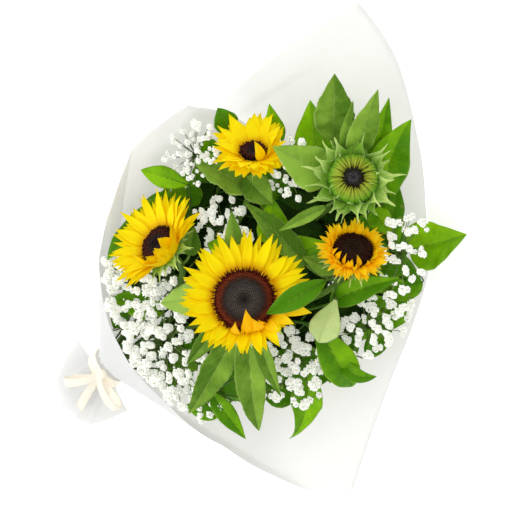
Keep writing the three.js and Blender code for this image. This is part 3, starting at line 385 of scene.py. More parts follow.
def head_frame(head):
    """A function that takes points of a flower head, with z the way that it looks, to the bunch's frame"""
    tilt, bearing = math.radians(head["tilt"]), math.radians(head["bearing"])
    aside = ACROSS * math.cos(bearing) + HEADWARD * math.sin(bearing)
    facing = FACING * math.cos(tilt) + aside * math.sin(tilt)
    x = unit(ACROSS - facing * (ACROSS @ facing))
    turn = np.stack([x, np.cross(facing, x), facing])
    middle = spot(head["at"])
    return (lambda points: points @ turn + middle), facing


def stem_path(slot, end, arrive, steps):
    """A stem from its cut end, straight through the tie, then in one curve to where it ends"""
    right, up = slot
    cut = np.array([TIE[0] + right, STEM_END_Y, TIE[2] + up - STEM_DROP])
    tie = np.array([TIE[0] + right, TIE[1], TIE[2] + up])
    reach = np.linalg.norm(end - tie)
    onward = unit(np.array([0.0, 1.0, 0.0]) + (end - tie) / reach * FAN)
    rise = cubic(tie, tie + onward * reach * 0.36, end - arrive * reach * 0.28, end, steps)
    return np.vstack([cut[None], rise])


def root_on(path, blade):
    """The place on a stem that a leaf leaves from: near its base and, if it can be, behind it"""
    base = spot(blade["base"])
    along = unit(spot(blade["tip"]) - base)
    places = [a + (b - a) * k / 6 for a, b in zip(path[1:], path[2:]) for k in range(1, 7)]
    places += [path[0] + (path[1] - path[0]) * k / 6 for k in range(1, 7)]
    return min(places, key=lambda p: np.linalg.norm(p - base) - 0.7 * (base - p) @ along)


def barrier(left_out, only=False):
    """A search tree over the solids, without those whose names start so, or with only those"""
    points, faces = [], []
    for name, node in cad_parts.items():
        if name.startswith(tuple(left_out)) != only:
            continue
        start = len(points)
        points += [v.co.copy() for v in node.data.vertices]
        faces += [[start + k for k in face.vertices] for face in node.data.polygons]
    return BVHTree.FromPolygons(points, faces)


def clear(solids, place, room):
    """Whether a place has so much room round it"""
    return solids.find_nearest(Vector((place - CENTRE) * MM), room * MM)[0] is None


def hit(solids, start, way, reach=1000):
    """The first place that a ray from a start meets, and how far it is"""
    place, _, _, far = solids.ray_cast(Vector((start - CENTRE) * MM), Vector(way), reach * MM)
    return (None, reach) if place is None else (np.array(place) / MM + CENTRE, far / MM)


# The lowest that a leaf's middle surface and midrib lie, over the paper
LEAF_FLOOR = 1.6


def blade_frame(blade):
    """A blade's base, tip, the point that its curve bends towards, the way across it and its length"""
    base, tip = spot(blade["base"]), spot(blade["tip"])
    length = np.linalg.norm(tip - base)
    along = unit(tip - base)
    face = spin(FACING, along, math.radians(blade.get("roll", 0)))
    side = unit(np.cross(along, face))
    middle = (base + tip) / 2 + np.cross(side, along) * length * blade.get("arch", 0.12) * 2
    return base, tip, middle + side * length * blade.get("sway", 0) * 2, side, length


def blade_surface(blade, seed, rows, columns, teeth=0.0, quilt=0.35, thickness=0.5):
    """A leaf's blade and the line of its midrib"""
    base, tip, middle, side, length = blade_frame(blade)
    s = np.linspace(0, 1, rows)[:, None]
    w = np.linspace(1, -1, columns)[None, :]
    centre = (1 - s) ** 2 * base + 2 * s * (1 - s) * middle + s ** 2 * tip
    forward = unit((1 - s) * (middle - base) + s * (tip - middle))
    across = unit(side - forward * (forward @ side)[:, None])
    normal = unit(np.cross(across, forward))
    wide = blade.get("widest", 0.42)
    warped = s ** (math.log(0.5) / math.log(wide))
    half = blade["width"] / 2 * np.sin(math.pi * np.minimum(0.03 + 0.97 * warped, 1)) ** 0.85
    toward_tip = np.clip((s - wide) / (1 - wide), 0, 1) ** blade.get("pinch", 1.3)
    half = np.maximum(half * (1 - blade.get("point", 0.25) * toward_tip), 0.25)
    saw = (s * 15 + 0.3 * chance(seed, 40)) % 1
    reach = half * (1 - teeth * saw * np.sin(math.pi * s))
    waves, ripple = blade.get("waves", 9), blade.get("ripple", 0.09)
    swell = np.sin(s * waves + np.where(w > 0, 1.7, 0.0)) * ripple
    swell = swell + 0.09 * np.sin(s * (21 + 6 * chance(seed, 41)) + 2 * w + seed) * np.abs(w) ** 2
    lift = half * np.abs(w) * (blade.get("fold", 0.25) + swell)
    veins = s * 9 - np.abs(w) * 1.7
    lift = lift + quilt * np.abs(np.sin(math.pi * veins)) * (1 - np.abs(w) ** 3) * np.sin(math.pi * s) ** 0.5
    lift = lift - 0.5 * np.exp(-((w * half / 1.1) ** 2))
    curl = (0.5 - chance(seed, 42)) * 0.09 * length * np.clip((s - 0.66) / 0.34, 0, 1) ** 2
    lift = lift + curl
    grid = centre[:, None, :] + across[:, None, :] * (reach * w)[..., None]
    grid = grid + normal[:, None, :] * lift[..., None]
    rib = centre - normal * (0.2 + thickness / 2) + normal * curl
    grid[..., 2] = np.maximum(grid[..., 2], LEAF_FLOOR)
    rib[:, 2] = np.maximum(rib[:, 2], LEAF_FLOOR)
    thick = thickness * (1 - 0.5 * np.abs(w) ** 2) * np.ones_like(s)
    return shell(grid, thick), rib


def add_leaf(piece, blade, seed, root, radius, paint, stalk_paint, teeth, quilt, tone):
    """A whole leaf: its blade, its midrib and, where it has a root, the stalk from there"""
    rows, columns = (36, 15) if blade["width"] > 28 else (28, 11)
    surface, rib = blade_surface(blade, seed, rows, columns, teeth, quilt)
    points, faces, uv, under = surface
    if blade.get("pale"):
        under = 1 - 0.6 * (1 - under)
    piece.add((points, faces, uv, under), paint, tone)
    base = rib[0]
    if root is not None:
        lean = base - unit(rib[4] - base) * np.linalg.norm(base - root) * 0.4
        path = cubic(root, root + (lean - root) * 0.5, lean, base, 8)
        path[:, 2] = np.maximum(path[:, 2], LEAF_FLOOR)
        piece.add(tube(path, np.linspace(radius, radius * 0.85, len(path)), 8), stalk_paint, tone)
    ribs = rib[:int(rows * 0.93)]
    rib_paint = paint if blade.get("pale") else stalk_paint
    piece.add(tube(ribs, np.linspace(radius * 0.8, 0.2, len(ribs)), 6), rib_paint, tone)


def petal_surface(place, shape, seed, rows=14, columns=7, thickness=0.35, outline=None, keel=0.35, twist=0.25,
                  hook=0.0):
    """A pointed petal or bract that leaves a ring round the head at an angle and curls"""
    turn = shape["round"]
    outward = np.array([math.cos(turn), math.sin(turn), 0.0])
    side = np.array([-math.sin(turn), math.cos(turn), 0.0])
    s = np.linspace(0, 1, rows)[:, None]
    w = np.linspace(-1, 1, columns)[None, :]
    angle = shape["rise"] + shape["bend"] * s + hook * np.clip((s - 0.6) / 0.4, 0, 1) ** 1.5
    between = (angle[:-1] + angle[1:]) / 2
    step = shape["length"] / (rows - 1)
    reach = shape["radius"] + step * np.vstack([[0], np.cumsum(np.cos(between))[:, None]])
    height = shape["start"] + step * np.vstack([[0], np.cumsum(np.sin(between))[:, None]])
    lateral = shape["length"] * 0.16 * (chance(seed, 50) - 0.5) * s ** 2
    roll = twist * 2 * (chance(seed, 51) - 0.5) * s
    half = shape["width"] / 2 * (outline or ray_outline)(s)
    channel = half * (0.12 + 0.2 * chance(seed, 52)) * np.abs(w) ** 1.6
    ribs = keel * 0.5 * np.cos(3 * math.pi * w) * np.sin(math.pi * np.clip(s * 1.05, 0, 1))
    ruffle = 0.1 * half * np.sin(8 * s + 6 * chance(seed, 53)) * w
    lift = channel + ribs * (half / max(shape["width"] / 2, 1e-6)) + ruffle
    normal = -np.sin(angle) * outward + np.cos(angle) * UP
    outer = half * w
    along = outward * reach + UP * height + side * lateral
    grid = along[:, None, :] + side * (outer * np.cos(roll))[..., None]
    grid = grid + normal[:, None, :] * (lift + outer * np.sin(roll))[..., None]
    points, faces, uv, under = shell(grid, thickness * (1 - 0.4 * np.abs(w)) * np.ones_like(s))
    return place(points), faces, uv, under


def ray_outline(s):
    rise = 0.62 + 0.38 * np.sin(np.clip(s / 0.42, 0, 1) * math.pi / 2)
    fall = 1 - np.clip((s - 0.34) / 0.66, 0, 1) ** 1.6
    return np.maximum(rise * fall, 0.03)


def bract_outline(s):
    broad = 0.8 + 0.2 * np.sin(np.clip(s / 0.3, 0, 1) * math.pi / 2)
    broad = broad * (1 - 0.8 * np.clip((s - 0.22) / 0.36, 0, 1) ** 1.3)
    return np.maximum(broad * (1 - np.clip((s - 0.6) / 0.4, 0, 1) ** 1.5), 0.025)


def closed_outline(s):
    broad = 0.8 + 0.2 * np.sin(math.pi * s)
    return np.maximum(broad * (1 - np.clip((s - 0.35) / 0.65, 0, 1) ** 1.6 * 0.93), 0.05)


# Degrees over which the rise of lifted petals fades at the edge of the lift: past its half width, and in all
LIFT_START, LIFT_FALL = 14, 30
# The way to the side where a bloom's petals are drawn longer, and how much more they shorten on the near side
FAR_SIDE, NEAR_SHORTER = math.radians(140), 1.7


def raised(head, degrees):
    """How far the petals there are raised towards the middle, in degrees, or sunk where it is less than 0"""
    total = 0
    for centre, half, most in head["lifts"]:
        off = abs((degrees - centre + 180) % 360 - 180)
        total += most * min(max((half + LIFT_START - off) / LIFT_FALL, 0), 1)
    return total


def far_share(head, turn):
    """How much longer the petals on the side away from the viewer are, and shorter on the near side"""
    share = math.cos(turn - FAR_SIDE)
    return head.get("stretch", 0) * share * (1 if share > 0 else NEAR_SHORTER)


def folded_over(head, degrees):
    """Whether the petals there are folded over the disc"""
    folds = head["folds"]
    return bool(folds) and (degrees - folds["start"]) % 360 < folds["stop"] - folds["start"]


def open_petal(head, turn, start, length, width, rise, bend):
    """An open petal, with the lifts and the longer far side of its bloom, whose values the last four vary"""
    far = far_share(head, turn)
    up = raised(head, math.degrees(turn))
    return dict(
        round=turn,
        radius=head["disc"] + 0.3 + 0.04 * max(up, 0),
        start=start,
        length=head["length"] * length * (1 + far) * (1 - 0.004 * max(up, 0)),
        width=head["width"] * width,
        rise=math.radians(head["cup"] + rise - 60 * far + up),
        bend=math.radians(head["bend"] + bend),
        folded=False,
    )


def petal_shape(head, i):
    """The place and shape of a petal, as on the solid rays"""
    degrees = 360 * (i + 0.3 * (chance(i, 1) - 0.5)) / head["petals"]
    turn = math.radians(degrees)
    upper = i % 2 == 1
    if upper and folded_over(head, degrees):
        folds = head["folds"]
        return dict(
            round=turn,
            radius=head["disc"] + 1.8,
            start=-0.3,
            length=folds["length"] * (0.8 + 0.4 * chance(i, 2)),
            width=head["width"] * (0.8 + 0.4 * chance(i, 3)) * folds.get("wide", 1),
            rise=math.radians(folds["rise"] + 26 * (chance(i, 4) - 0.5)),
            bend=math.radians(folds["bend"] + 60 * (chance(i, 9) - 0.5)),
            folded=True,
        )
    return open_petal(head, turn, -0.3 if upper else -3, 0.86 + 0.26 * chance(i, 2), 0.7 + 0.3 * chance(i, 3),
                      (7 if upper else -3) + 5 * (chance(i, 4) - 0.5), 10 * (chance(i, 9) - 0.5))


class Flow:
    """A socket of a node tree. Sums on it add Math nodes to the tree."""

    def __init__(self, bench, socket):
        self.bench = bench
        self.socket = socket

    def __add__(self, other):
        return self.bench.maths("ADD", self, other)

    def __sub__(self, other):
        return self.bench.maths("SUBTRACT", self, other)

    def __rsub__(self, other):
        return self.bench.maths("SUBTRACT", other, self)

    def __mul__(self, other):
        return self.bench.maths("MULTIPLY", self, other)

    def __truediv__(self, other):
        return self.bench.maths("DIVIDE", self, other)

    def __pow__(self, other):
        return self.bench.maths("POWER", self, other)

    __radd__ = __add__
    __rmul__ = __mul__


class Bench:
    """A node tree, and one way to add a node to it"""

    def __init__(self, tree):
        self.tree = tree

    def node(self, kind, settings=None, inputs=None, output=0):
        node = self.tree.nodes.new(kind)
        for name, value in (settings or {}).items():
            if name == "stops":
                ramp = node.color_ramp
                while len(ramp.elements) < len(value):
                    ramp.elements.new(0.5)
                for element, (position, colour) in zip(ramp.elements, value):
                    element.position = position
                    element.color = (*colour, 1)
            else:
                setattr(node, name, value)
        for name, value in (inputs or {}).items():
            if isinstance(value, Flow):
                self.tree.links.new(value.socket, node.inputs[name])
            else:
                node.inputs[name].default_value = value
        return Flow(self, node.outputs[output])

    def maths(self, operation, *values):
        return self.node("ShaderNodeMath", {"operation": operation}, dict(enumerate(values)))

    def clamp(self, value):
        return self.node("ShaderNodeClamp", None, {0: value})

    def join(self, parts):
        """The geometry of all the parts together"""
        joined = self.tree.nodes.new("GeometryNodeJoinGeometry")
        for part in parts:
            self.tree.links.new(part.socket, joined.inputs[0])
        return Flow(self, joined.outputs[0])

    def mix(self, share, one, other):
        settings = {"data_type": "RGBA", "clamp_factor": True}
        one, other = (paint if isinstance(paint, Flow) else (*paint, 1) for paint in (one, other))
        return self.node("ShaderNodeMix", settings, {0: share, 6: one, 7: other}, 2)

    def noise(self, scale, detail=3.0, rough=0.55, stretch=None):
        place = self.node("ShaderNodeTexCoord", None, None, "Object")
        if stretch:
            place = self.node("ShaderNodeMapping", None, {"Vector": place, "Scale": stretch})
        inputs = {"Vector": place, "Scale": scale, "Detail": detail, "Roughness": rough}
        return self.node("ShaderNodeTexNoise", None, inputs, "Fac")

    def attribute(self, name):
        return self.node("ShaderNodeAttribute", {"attribute_name": name}, None, "Fac")

    def uv(self):
        place = self.node("ShaderNodeTexCoord", None, None, "UV")
        split = self.node("ShaderNodeSeparateXYZ", None, {0: place})
        return split, Flow(self, split.socket.node.outputs[1])


def finish(name, colour, roughness, height=None, depth=0.0003, **constants):
    """A material whose colour, roughness and relief may vary, with its other sockets the same all over"""
    material = bpy.data.materials.new(name)
    material.use_nodes = True
    bench = Bench(material.node_tree)
    principled = material.node_tree.nodes["Principled BSDF"]
    for socket, value in {"Base Color": colour(bench), "Roughness": roughness, **constants}.items():
        if callable(value):
            value = value(bench)
        if isinstance(value, Flow):
            bench.tree.links.new(value.socket, principled.inputs[socket])
        else:
            principled.inputs[socket].default_value = (*value, 1) if "Color" in socket else value
    if height:
        relief = {"Height": height(bench), "Distance": depth, "Strength": 1.0}
        bump = bench.node("ShaderNodeBump", None, relief)
        bench.tree.links.new(bump.socket, principled.inputs["Normal"])
    return material


def near(value, width):
    """1 where a value is 0, falling to 0 at a width either side"""
    return value.bench.clamp(1 - value.bench.maths("ABSOLUTE", value) / width)


def leaf_finish(name, lit, deep, vein, under, roughness, gloss, side_veins, vein_strength, rise=0.0,
                painted_half_light=0.36):
    """A leaf: its veins run from the midrib to the edge, one half is painted lighter as painted light, a rise
    paints it darker towards its base as painted shade, it glows faintly in its own colour as painted light,
    and its underside is paler
    """
    def veins(bench):
        u, v = bench.uv()
        off = bench.maths("ABSOLUTE", u - 0.5) * 2
        wander = (bench.noise(30, 2) - 0.5) * 0.5
        rank = bench.maths("PINGPONG", v * side_veins - off ** 0.8 * (side_veins * 0.2) + wander, 0.5)
        middle = bench.maths("MAXIMUM", near(rank, 0.07) * (0.8 - off * 0.8), near(off, 0.05) * 1.4)
        return bench.maths("MAXIMUM", middle, near(off - 1, 0.1) * 1.6)

    def colour(bench):
        patches = bench.noise(38, 4, 0.65)
        # painted light: one half of the blade, by its UV, is painted lighter than the other, as if its two
        # halves caught the lamps differently
        side = bench.maths("GREATER_THAN", bench.uv()[0], 0.5) - 0.5
        share = (patches - 0.32) * 1.7 + (bench.attribute("tone") - 0.5) * 1.3 + side * painted_half_light
        # painted shade: with a rise, as on the bracts, the colour darkens towards the blade's base, where the
        # bracts lie over each other
        if rise:
            share = share + (bench.uv()[1] - 0.45) * rise
        base = bench.mix(share, deep, lit)
        base = bench.mix(veins(bench) * vein_strength, base, vein)
        return bench.mix(bench.attribute("under") * 0.9, base, under)

    def relief(bench):
        place = bench.node("ShaderNodeTexCoord", None, None, "Object")
        web = bench.node("ShaderNodeTexVoronoi", {"feature": "DISTANCE_TO_EDGE"},
                         {"Vector": place, "Scale": 420}, "Distance")
        return veins(bench) * -0.7 + bench.clamp(web * 3) * 0.25 + bench.noise(900, 2) * 0.12

    # painted light: the blade glows faintly in its own colour, lifting its shaded parts
    return finish(name, colour, lambda b: roughness + b.noise(120, 2) * 0.15, relief, 0.0004,
                  **{"Coat Weight": gloss, "Coat Roughness": 0.3, "Specular IOR Level": 0.1,
                     "Emission Color": colour, "Emission Strength": 0.03})


def stem_finish(name, lit, deep):
    """A stalk with stripes along it"""
    def colour(bench):
        stripe = bench.noise(60, 3, 0.6, (6, 1, 6))
        return bench.mix(bench.clamp((stripe - 0.3) * 1.8), deep, lit)

    return finish(name, colour, 0.55, lambda b: b.noise(700, 3), 0.0002, **{"Specular IOR Level": 0.2})


def ray_finish(name, root, middle, tip, under, painted_glow=0.11):
    """A petal: warmer at its root, finely ribbed along its length, and glowing faintly in its own colour:
    painted light that lifts its shaded side
    """
    def ribs(bench):
        wander = bench.noise(90, 2) * 0.06
        return bench.maths("SINE", (bench.uv()[0] + wander) * 62) * 0.5 + 0.5

    def colour(bench):
        v = bench.uv()[1]
        base = bench.mix(bench.clamp(v * 3.4), root, middle)
        base = bench.mix(bench.clamp(v * 1.5 - 0.35 + (bench.attribute("tone") - 0.5) * 0.6), base, tip)
        base = bench.mix(ribs(bench) * 0.16, base, middle)
        return bench.mix(bench.attribute("under") * 0.8, base, under)

    return finish(name, colour, 0.48, lambda b: ribs(b) * 0.7 + b.noise(500, 2) * 0.3, 0.00022,
                  **{"Specular IOR Level": 0.08, "Emission Color": colour, "Emission Strength": painted_glow})


def disc_finish(name, stops, speckle):
    """A disc: its rings of florets change colour from the middle to the edge, by the share stored on them"""
    def colour(bench):
        share = bench.attribute("share") + (bench.noise(260, 2) - 0.5) * 0.12
        rings = bench.node("ShaderNodeValToRGB", {"stops": stops}, {"Fac": share})
        tips = bench.attribute("tip") * near(bench.attribute("share") - 0.34, 0.34)
        return bench.mix(tips * 0.5, rings, speckle)

    return finish(name, colour, 0.72, lambda b: b.noise(1400, 2), 0.0002, **{"Specular IOR Level": 0.15})


def make_finishes(tints):
    """Every material of the bunch, by a plain name"""
    made = {}
    # The paper glows faintly white at strength 0.2: painted light that lifts its shaded inside.
    made["paper"] = finish(
        "White paper",
        lambda b: b.mix(b.noise(9, 4) * 0.5, tuple(tints.paper_white), srgb("#c4c4c0")),
        0.75, lambda b: b.noise(35, 5, 0.6) * 1.6 + b.noise(1500, 2) * 0.1, 0.0006,
        **{"Specular IOR Level": 0.15, "Subsurface Weight": 0.6, "Subsurface Radius": (1.0, 0.98, 0.9),
           "Subsurface Scale": 0.004, "Emission Color": (1.0, 1.0, 0.99), "Emission Strength": 0.2})
    # The ribbon glows faintly cream at strength 0.16: painted light that lifts its shading.
    made["ribbon"] = finish(
        "Cream ribbon",
        lambda b: b.mix(b.noise(60, 3) * 0.5 + b.maths("SINE", b.uv()[1] * 520) * 0.2,
                        tuple(tints.ribbon_cream), srgb("#ecdfc0")),
        0.5, lambda b: b.maths("SINE", b.uv()[1] * 520) * 0.5, 0.0002,
        **{"Specular IOR Level": 0.3, "Emission Color": (1.0, 0.97, 0.88), "Emission Strength": 0.16})
    made["twine"] = finish(
        "Twine", lambda b: b.mix(b.noise(400, 3), srgb("#a88d5c"), srgb("#d3bf94")), 0.85,
        lambda b: b.noise(1200, 3), 0.0004)
    yellow, lit, glossy = (tuple(tint) for tint in (tints.petal_yellow, tints.leaf_green, tints.glossy_green))
    # the last value of each is the petals' painted glow, painted light
    for key, (name, root, middle, *others, painted_glow) in {
            "yellow": ("Yellow petal", "#e08c00", yellow, "#fde800", "#f8cc00", 0.11),
            "amber": ("Amber petal", "#c86c02", srgb("#ffc400"), "#ffe11e", "#f8b400", 0.15)}.items():
        made[key] = ray_finish(name, srgb(root), middle, *map(srgb, others), painted_glow)
    for key, (name, speckle, *stops) in {
            "front_disc": ("Front disc", "#8a8074", (0.0, "#120d0b"), (0.1, "#2b2624"), (0.64, "#352e2b"),
                           (0.73, "#4a2417"), (0.82, "#74300f"), (0.9, "#66200c"), (0.96, "#4c1408")),
            "dark_disc": ("Dark disc", "#4a3a34", (0.0, "#1a1212"), (0.45, "#2a1a17"), (0.72, "#4a1c12"),
                          (0.92, "#260906")),
            "brown_disc": ("Brown disc", "#54391c", (0.0, "#2f1d0f"), (0.35, "#1f120e"), (0.75, "#34140c"),
                           (0.92, "#220a06")),
            "eye": ("Bud eye", "#8c8488", (0.0, "#120e10"), (0.5, "#231c1f"), (0.85, "#2c2a1c"),
                    (1.0, "#30361a"))}.items():
        made[key] = disc_finish(name, [(place, srgb(code)) for place, code in stops], srgb(speckle))
    for key, name, lightest, others, looks in (
            ("leaf", "Sunflower leaf", lit, ("#507a1a", "#b4cc74", "#a5c068"), (0.6, 0.0, 8, 0.32)),
            ("bract", "Bract", srgb("#d4ee86"), ("#78a82e", "#e0f0b0", "#c8e488"),
             (0.6, 0.0, 5, 0.3, 1.7, 0.25)),
            ("pale_leaf", "Leaf underside", srgb("#ecf8b6"), ("#d8ea9a", "#f2fad0", "#6e9a1a"),
             (0.6, 0.0, 9, 0.3)),
            ("glossy", "Glossy leaf", glossy, ("#4e8a02", "#acd040", "#8fb348"), (0.42, 0.07, 9, 0.3)),
            # The shaded finish is a dark green for the small leaves deep in the bunch: painted shade.
            ("shaded", "Shaded leaf", srgb("#274a0b"), ("#142a05", "#3d6017", "#1d3a08"),
             (0.6, 0.0, 9, 0.3))):
        made[key] = leaf_finish(name, lightest, *map(srgb, others), *looks)
    # The closed rays are painted dark green along their edges, painted shade in the creases between them;
    # they turn from green to yellow-green towards their tips.
    made["bud_rays"] = finish(
        "Closed green rays",
        lambda b: b.mix(b.clamp(near(b.uv()[0] - 0.5, 0.5) * 4.4 - b.uv()[1] * 0.5),
                        b.mix(b.uv()[1], srgb("#3c6c0c"), srgb("#3a4c08")),
                        b.mix(b.clamp(b.uv()[1] * 1.6 - 0.45), srgb("#64a81e"), srgb("#d2da42"))),
        0.5, lambda b: b.maths("SINE", b.uv()[0] * 30), 0.0002, **{"Specular IOR Level": 0.2})
    made["stem"] = stem_finish("Sunflower stem", srgb("#7fa544"), srgb("#517a22"))
    made["glossy_stem"] = stem_finish("Glossy stem", srgb("#5c8424"), srgb("#335a10"))
    made["thin_stem"] = stem_finish("Thin stalk", srgb("#8aa25a"), srgb("#5c7638"))
    # The blossoms are painted grey-green by their 'deep' values, painted shade on their inner and lower
    # petals, and glow white at strength 0.26, painted light, which fades where they are painted shaded.
    made["blossom"] = finish(
        "White blossom",
        lambda b: b.mix(b.attribute("deep"), tuple(tints.blossom_white), srgb("#a3ae84")),
        0.6, lambda b: b.noise(900, 2), 0.0001,
        **{"Specular IOR Level": 0.15, "Emission Strength": 0.26,
           "Emission Color": lambda b: b.mix(b.attribute("deep") * 1.7, (1.0, 1.0, 0.97),
                                             (0.02, 0.03, 0.01))})
    return made


FINISHES = {}


def place_piece(made, slot, *nodes):
    """Puts a finished piece on the root body and hides the solids that it stands for; the slot, which names
    its finish, is not used
    """
    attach(made, "root")
    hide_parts(*nodes)
    return made


def plain_copy(source, name):
    """The evaluated mesh of an object as a new plain object, with the source removed"""
    graph = bpy.context.evaluated_depsgraph_get()
    mesh = bpy.data.meshes.new_from_object(source.evaluated_get(graph))
    mesh.name = name
    made = bpy.data.objects.new(name, mesh)
    bpy.context.collection.objects.link(made)
    bpy.data.objects.remove(source)
    made.name = name
    return made


def node_group(name, inputs):
    """A new Geometry Nodes tree with named inputs: its bench, its inputs by name and its output node"""
    tree = bpy.data.node_groups.new(name, "GeometryNodeTree")
    tree.interface.new_socket(name="Geometry", in_out="INPUT", socket_type="NodeSocketGeometry")
    for label, (kind, value) in inputs.items():
        socket = tree.interface.new_socket(name=label, in_out="INPUT", socket_type=kind)
        if value is not None:
            socket.default_value = value
    tree.interface.new_socket(name="Geometry", in_out="OUTPUT", socket_type="NodeSocketGeometry")
    bench = Bench(tree)
    source = tree.nodes.new("NodeGroupInput")
    given = {socket.name: Flow(bench, socket) for socket in source.outputs if socket.name}
    return bench, given, tree.nodes.new("NodeGroupOutput")


def run_group(source, bench, values):
    """Puts a tree on an object, with its inputs set by their identifiers"""
    modifier = source.modifiers.new(bench.tree.name, "NODES")
    modifier.node_group = bench.tree
    for item in bench.tree.interface.items_tree:
        if item.in_out == "INPUT" and item.name in values:
            modifier[item.identifier] = values[item.name]
    source.update_tag()


def helper(name, points, edges=(), faces=(), **attributes):
    """A mesh object in metres that a tree starts from or places copies of"""
    mesh = bpy.data.meshes.new(name)
    mesh.from_pydata(np.asarray(points).tolist(), list(edges), list(faces))
    for label, values in attributes.items():
        values = np.asarray(values, float)
        if values.ndim == 2:
            mesh.attributes.new(label, "FLOAT_VECTOR", "POINT").data.foreach_set("vector", values.ravel())
        else:
            mesh.attributes.new(label, "FLOAT", "POINT").data.foreach_set("value", values)
    made = bpy.data.objects.new(name, mesh)
    bpy.context.collection.objects.link(made)
    return made


def floret_mesh():
    """One disc floret: a five-sided tube that opens to a star, one unit high"""
    rings = [(0.42, 0.0, 0.0), (0.5, 0.45, 0.2), (0.62, 0.85, 0.6), (0.28, 0.86, 0.4), (0.1, 1.0, 1.0)]
    return ringed_mesh("floret", rings, 5, "tip")


def spike_mesh():
    """One spike of a disc's fringe: a thin four-sided point, one unit high"""
    rings = [(0.5, 0.0, 0.0), (0.42, 0.35, 0.1), (0.24, 0.72, 0.3), (0.05, 1.0, 0.5)]
    return ringed_mesh("spike", rings, 4, "tip")


def ringed_mesh(name, rings, sides, label):
    """A closed solid of rings, each a radius, a height and the value of an attribute"""
    points = [(r * math.cos(2 * math.pi * j / sides), r * math.sin(2 * math.pi * j / sides), z)
              for r, z, _ in rings for j in range(sides)]
    index, _, walls, _ = ring_walls(len(rings), sides)
    faces = walls + [index[0, ::-1].tolist(), index[-1].tolist()]
    return helper(name, points, faces=faces, **{label: np.repeat([value for _, _, value in rings], sides)})


def blossom_mesh():
    """One small double blossom, one unit across: whorls of petals that lie over each other as on a ball"""
    points, faces, deep = [], [], []
    whorls = [(6, 0.50, 0.10, 0.0), (6, 0.43, 0.22, 0.5), (4, 0.31, 0.34, 0.2), (2, 0.18, 0.42, 0.6)]
    for k, (count, reach, height, shift) in enumerate(whorls):
        for i in range(count):
            turn = 2 * math.pi * (i + shift) / count
            out = np.array([math.cos(turn), math.sin(turn), 0.0])
            side = np.array([-math.sin(turn), math.cos(turn), 0.0])
            spread = (0.4 + 0.22 * chance(i, 38 + k)) * reach
            ruffle = 0.34 * (chance(i, 30 + k) - 0.5)
            middle = height + 0.10 + ruffle
            start = len(points)
            points += [out * 0.03 + UP * height,
                       out * reach * 0.7 + side * spread + UP * (middle - ruffle * 2),
                       out * reach * (1 + ruffle) + UP * (height - 0.02 + ruffle),
                       out * reach * 0.7 - side * spread + UP * middle,
                       out * reach * 0.55 + UP * (middle + 0.04), out * reach * 0.5 + UP * (height - 0.05)]
            # 'deep' is painted shade: it is highest at the middle, under the petals and on the lower whorls,
            # and none at the tips.
            low = [0.36, 0.16, 0.04, 0.0][k] + 0.2 * (chance(i, 34 + k) > 0.7)
            deep += [0.5, low, 0.0, low * 0.7, low * 0.4, 0.6]
            for a, b in ((0, 1), (1, 2), (2, 3), (3, 0)):
                faces += [[start + b, start + a, start + 4], [start + a, start + b, start + 5]]
    return helper("blossom", points, faces=faces, deep=deep)


def closed_blossom_mesh():
    """One closed blossom: a small pointed bead, one unit high"""
    # Its 'deep' values make it darker and greener towards its base.
    rings = [(0.12, 0.0, 1.0), (0.34, 0.25, 0.75), (0.36, 0.55, 0.35), (0.2, 0.85, 0.1), (0.05, 1.0, 0.0)]
    return ringed_mesh("closed_blossom", rings, 6, "deep")


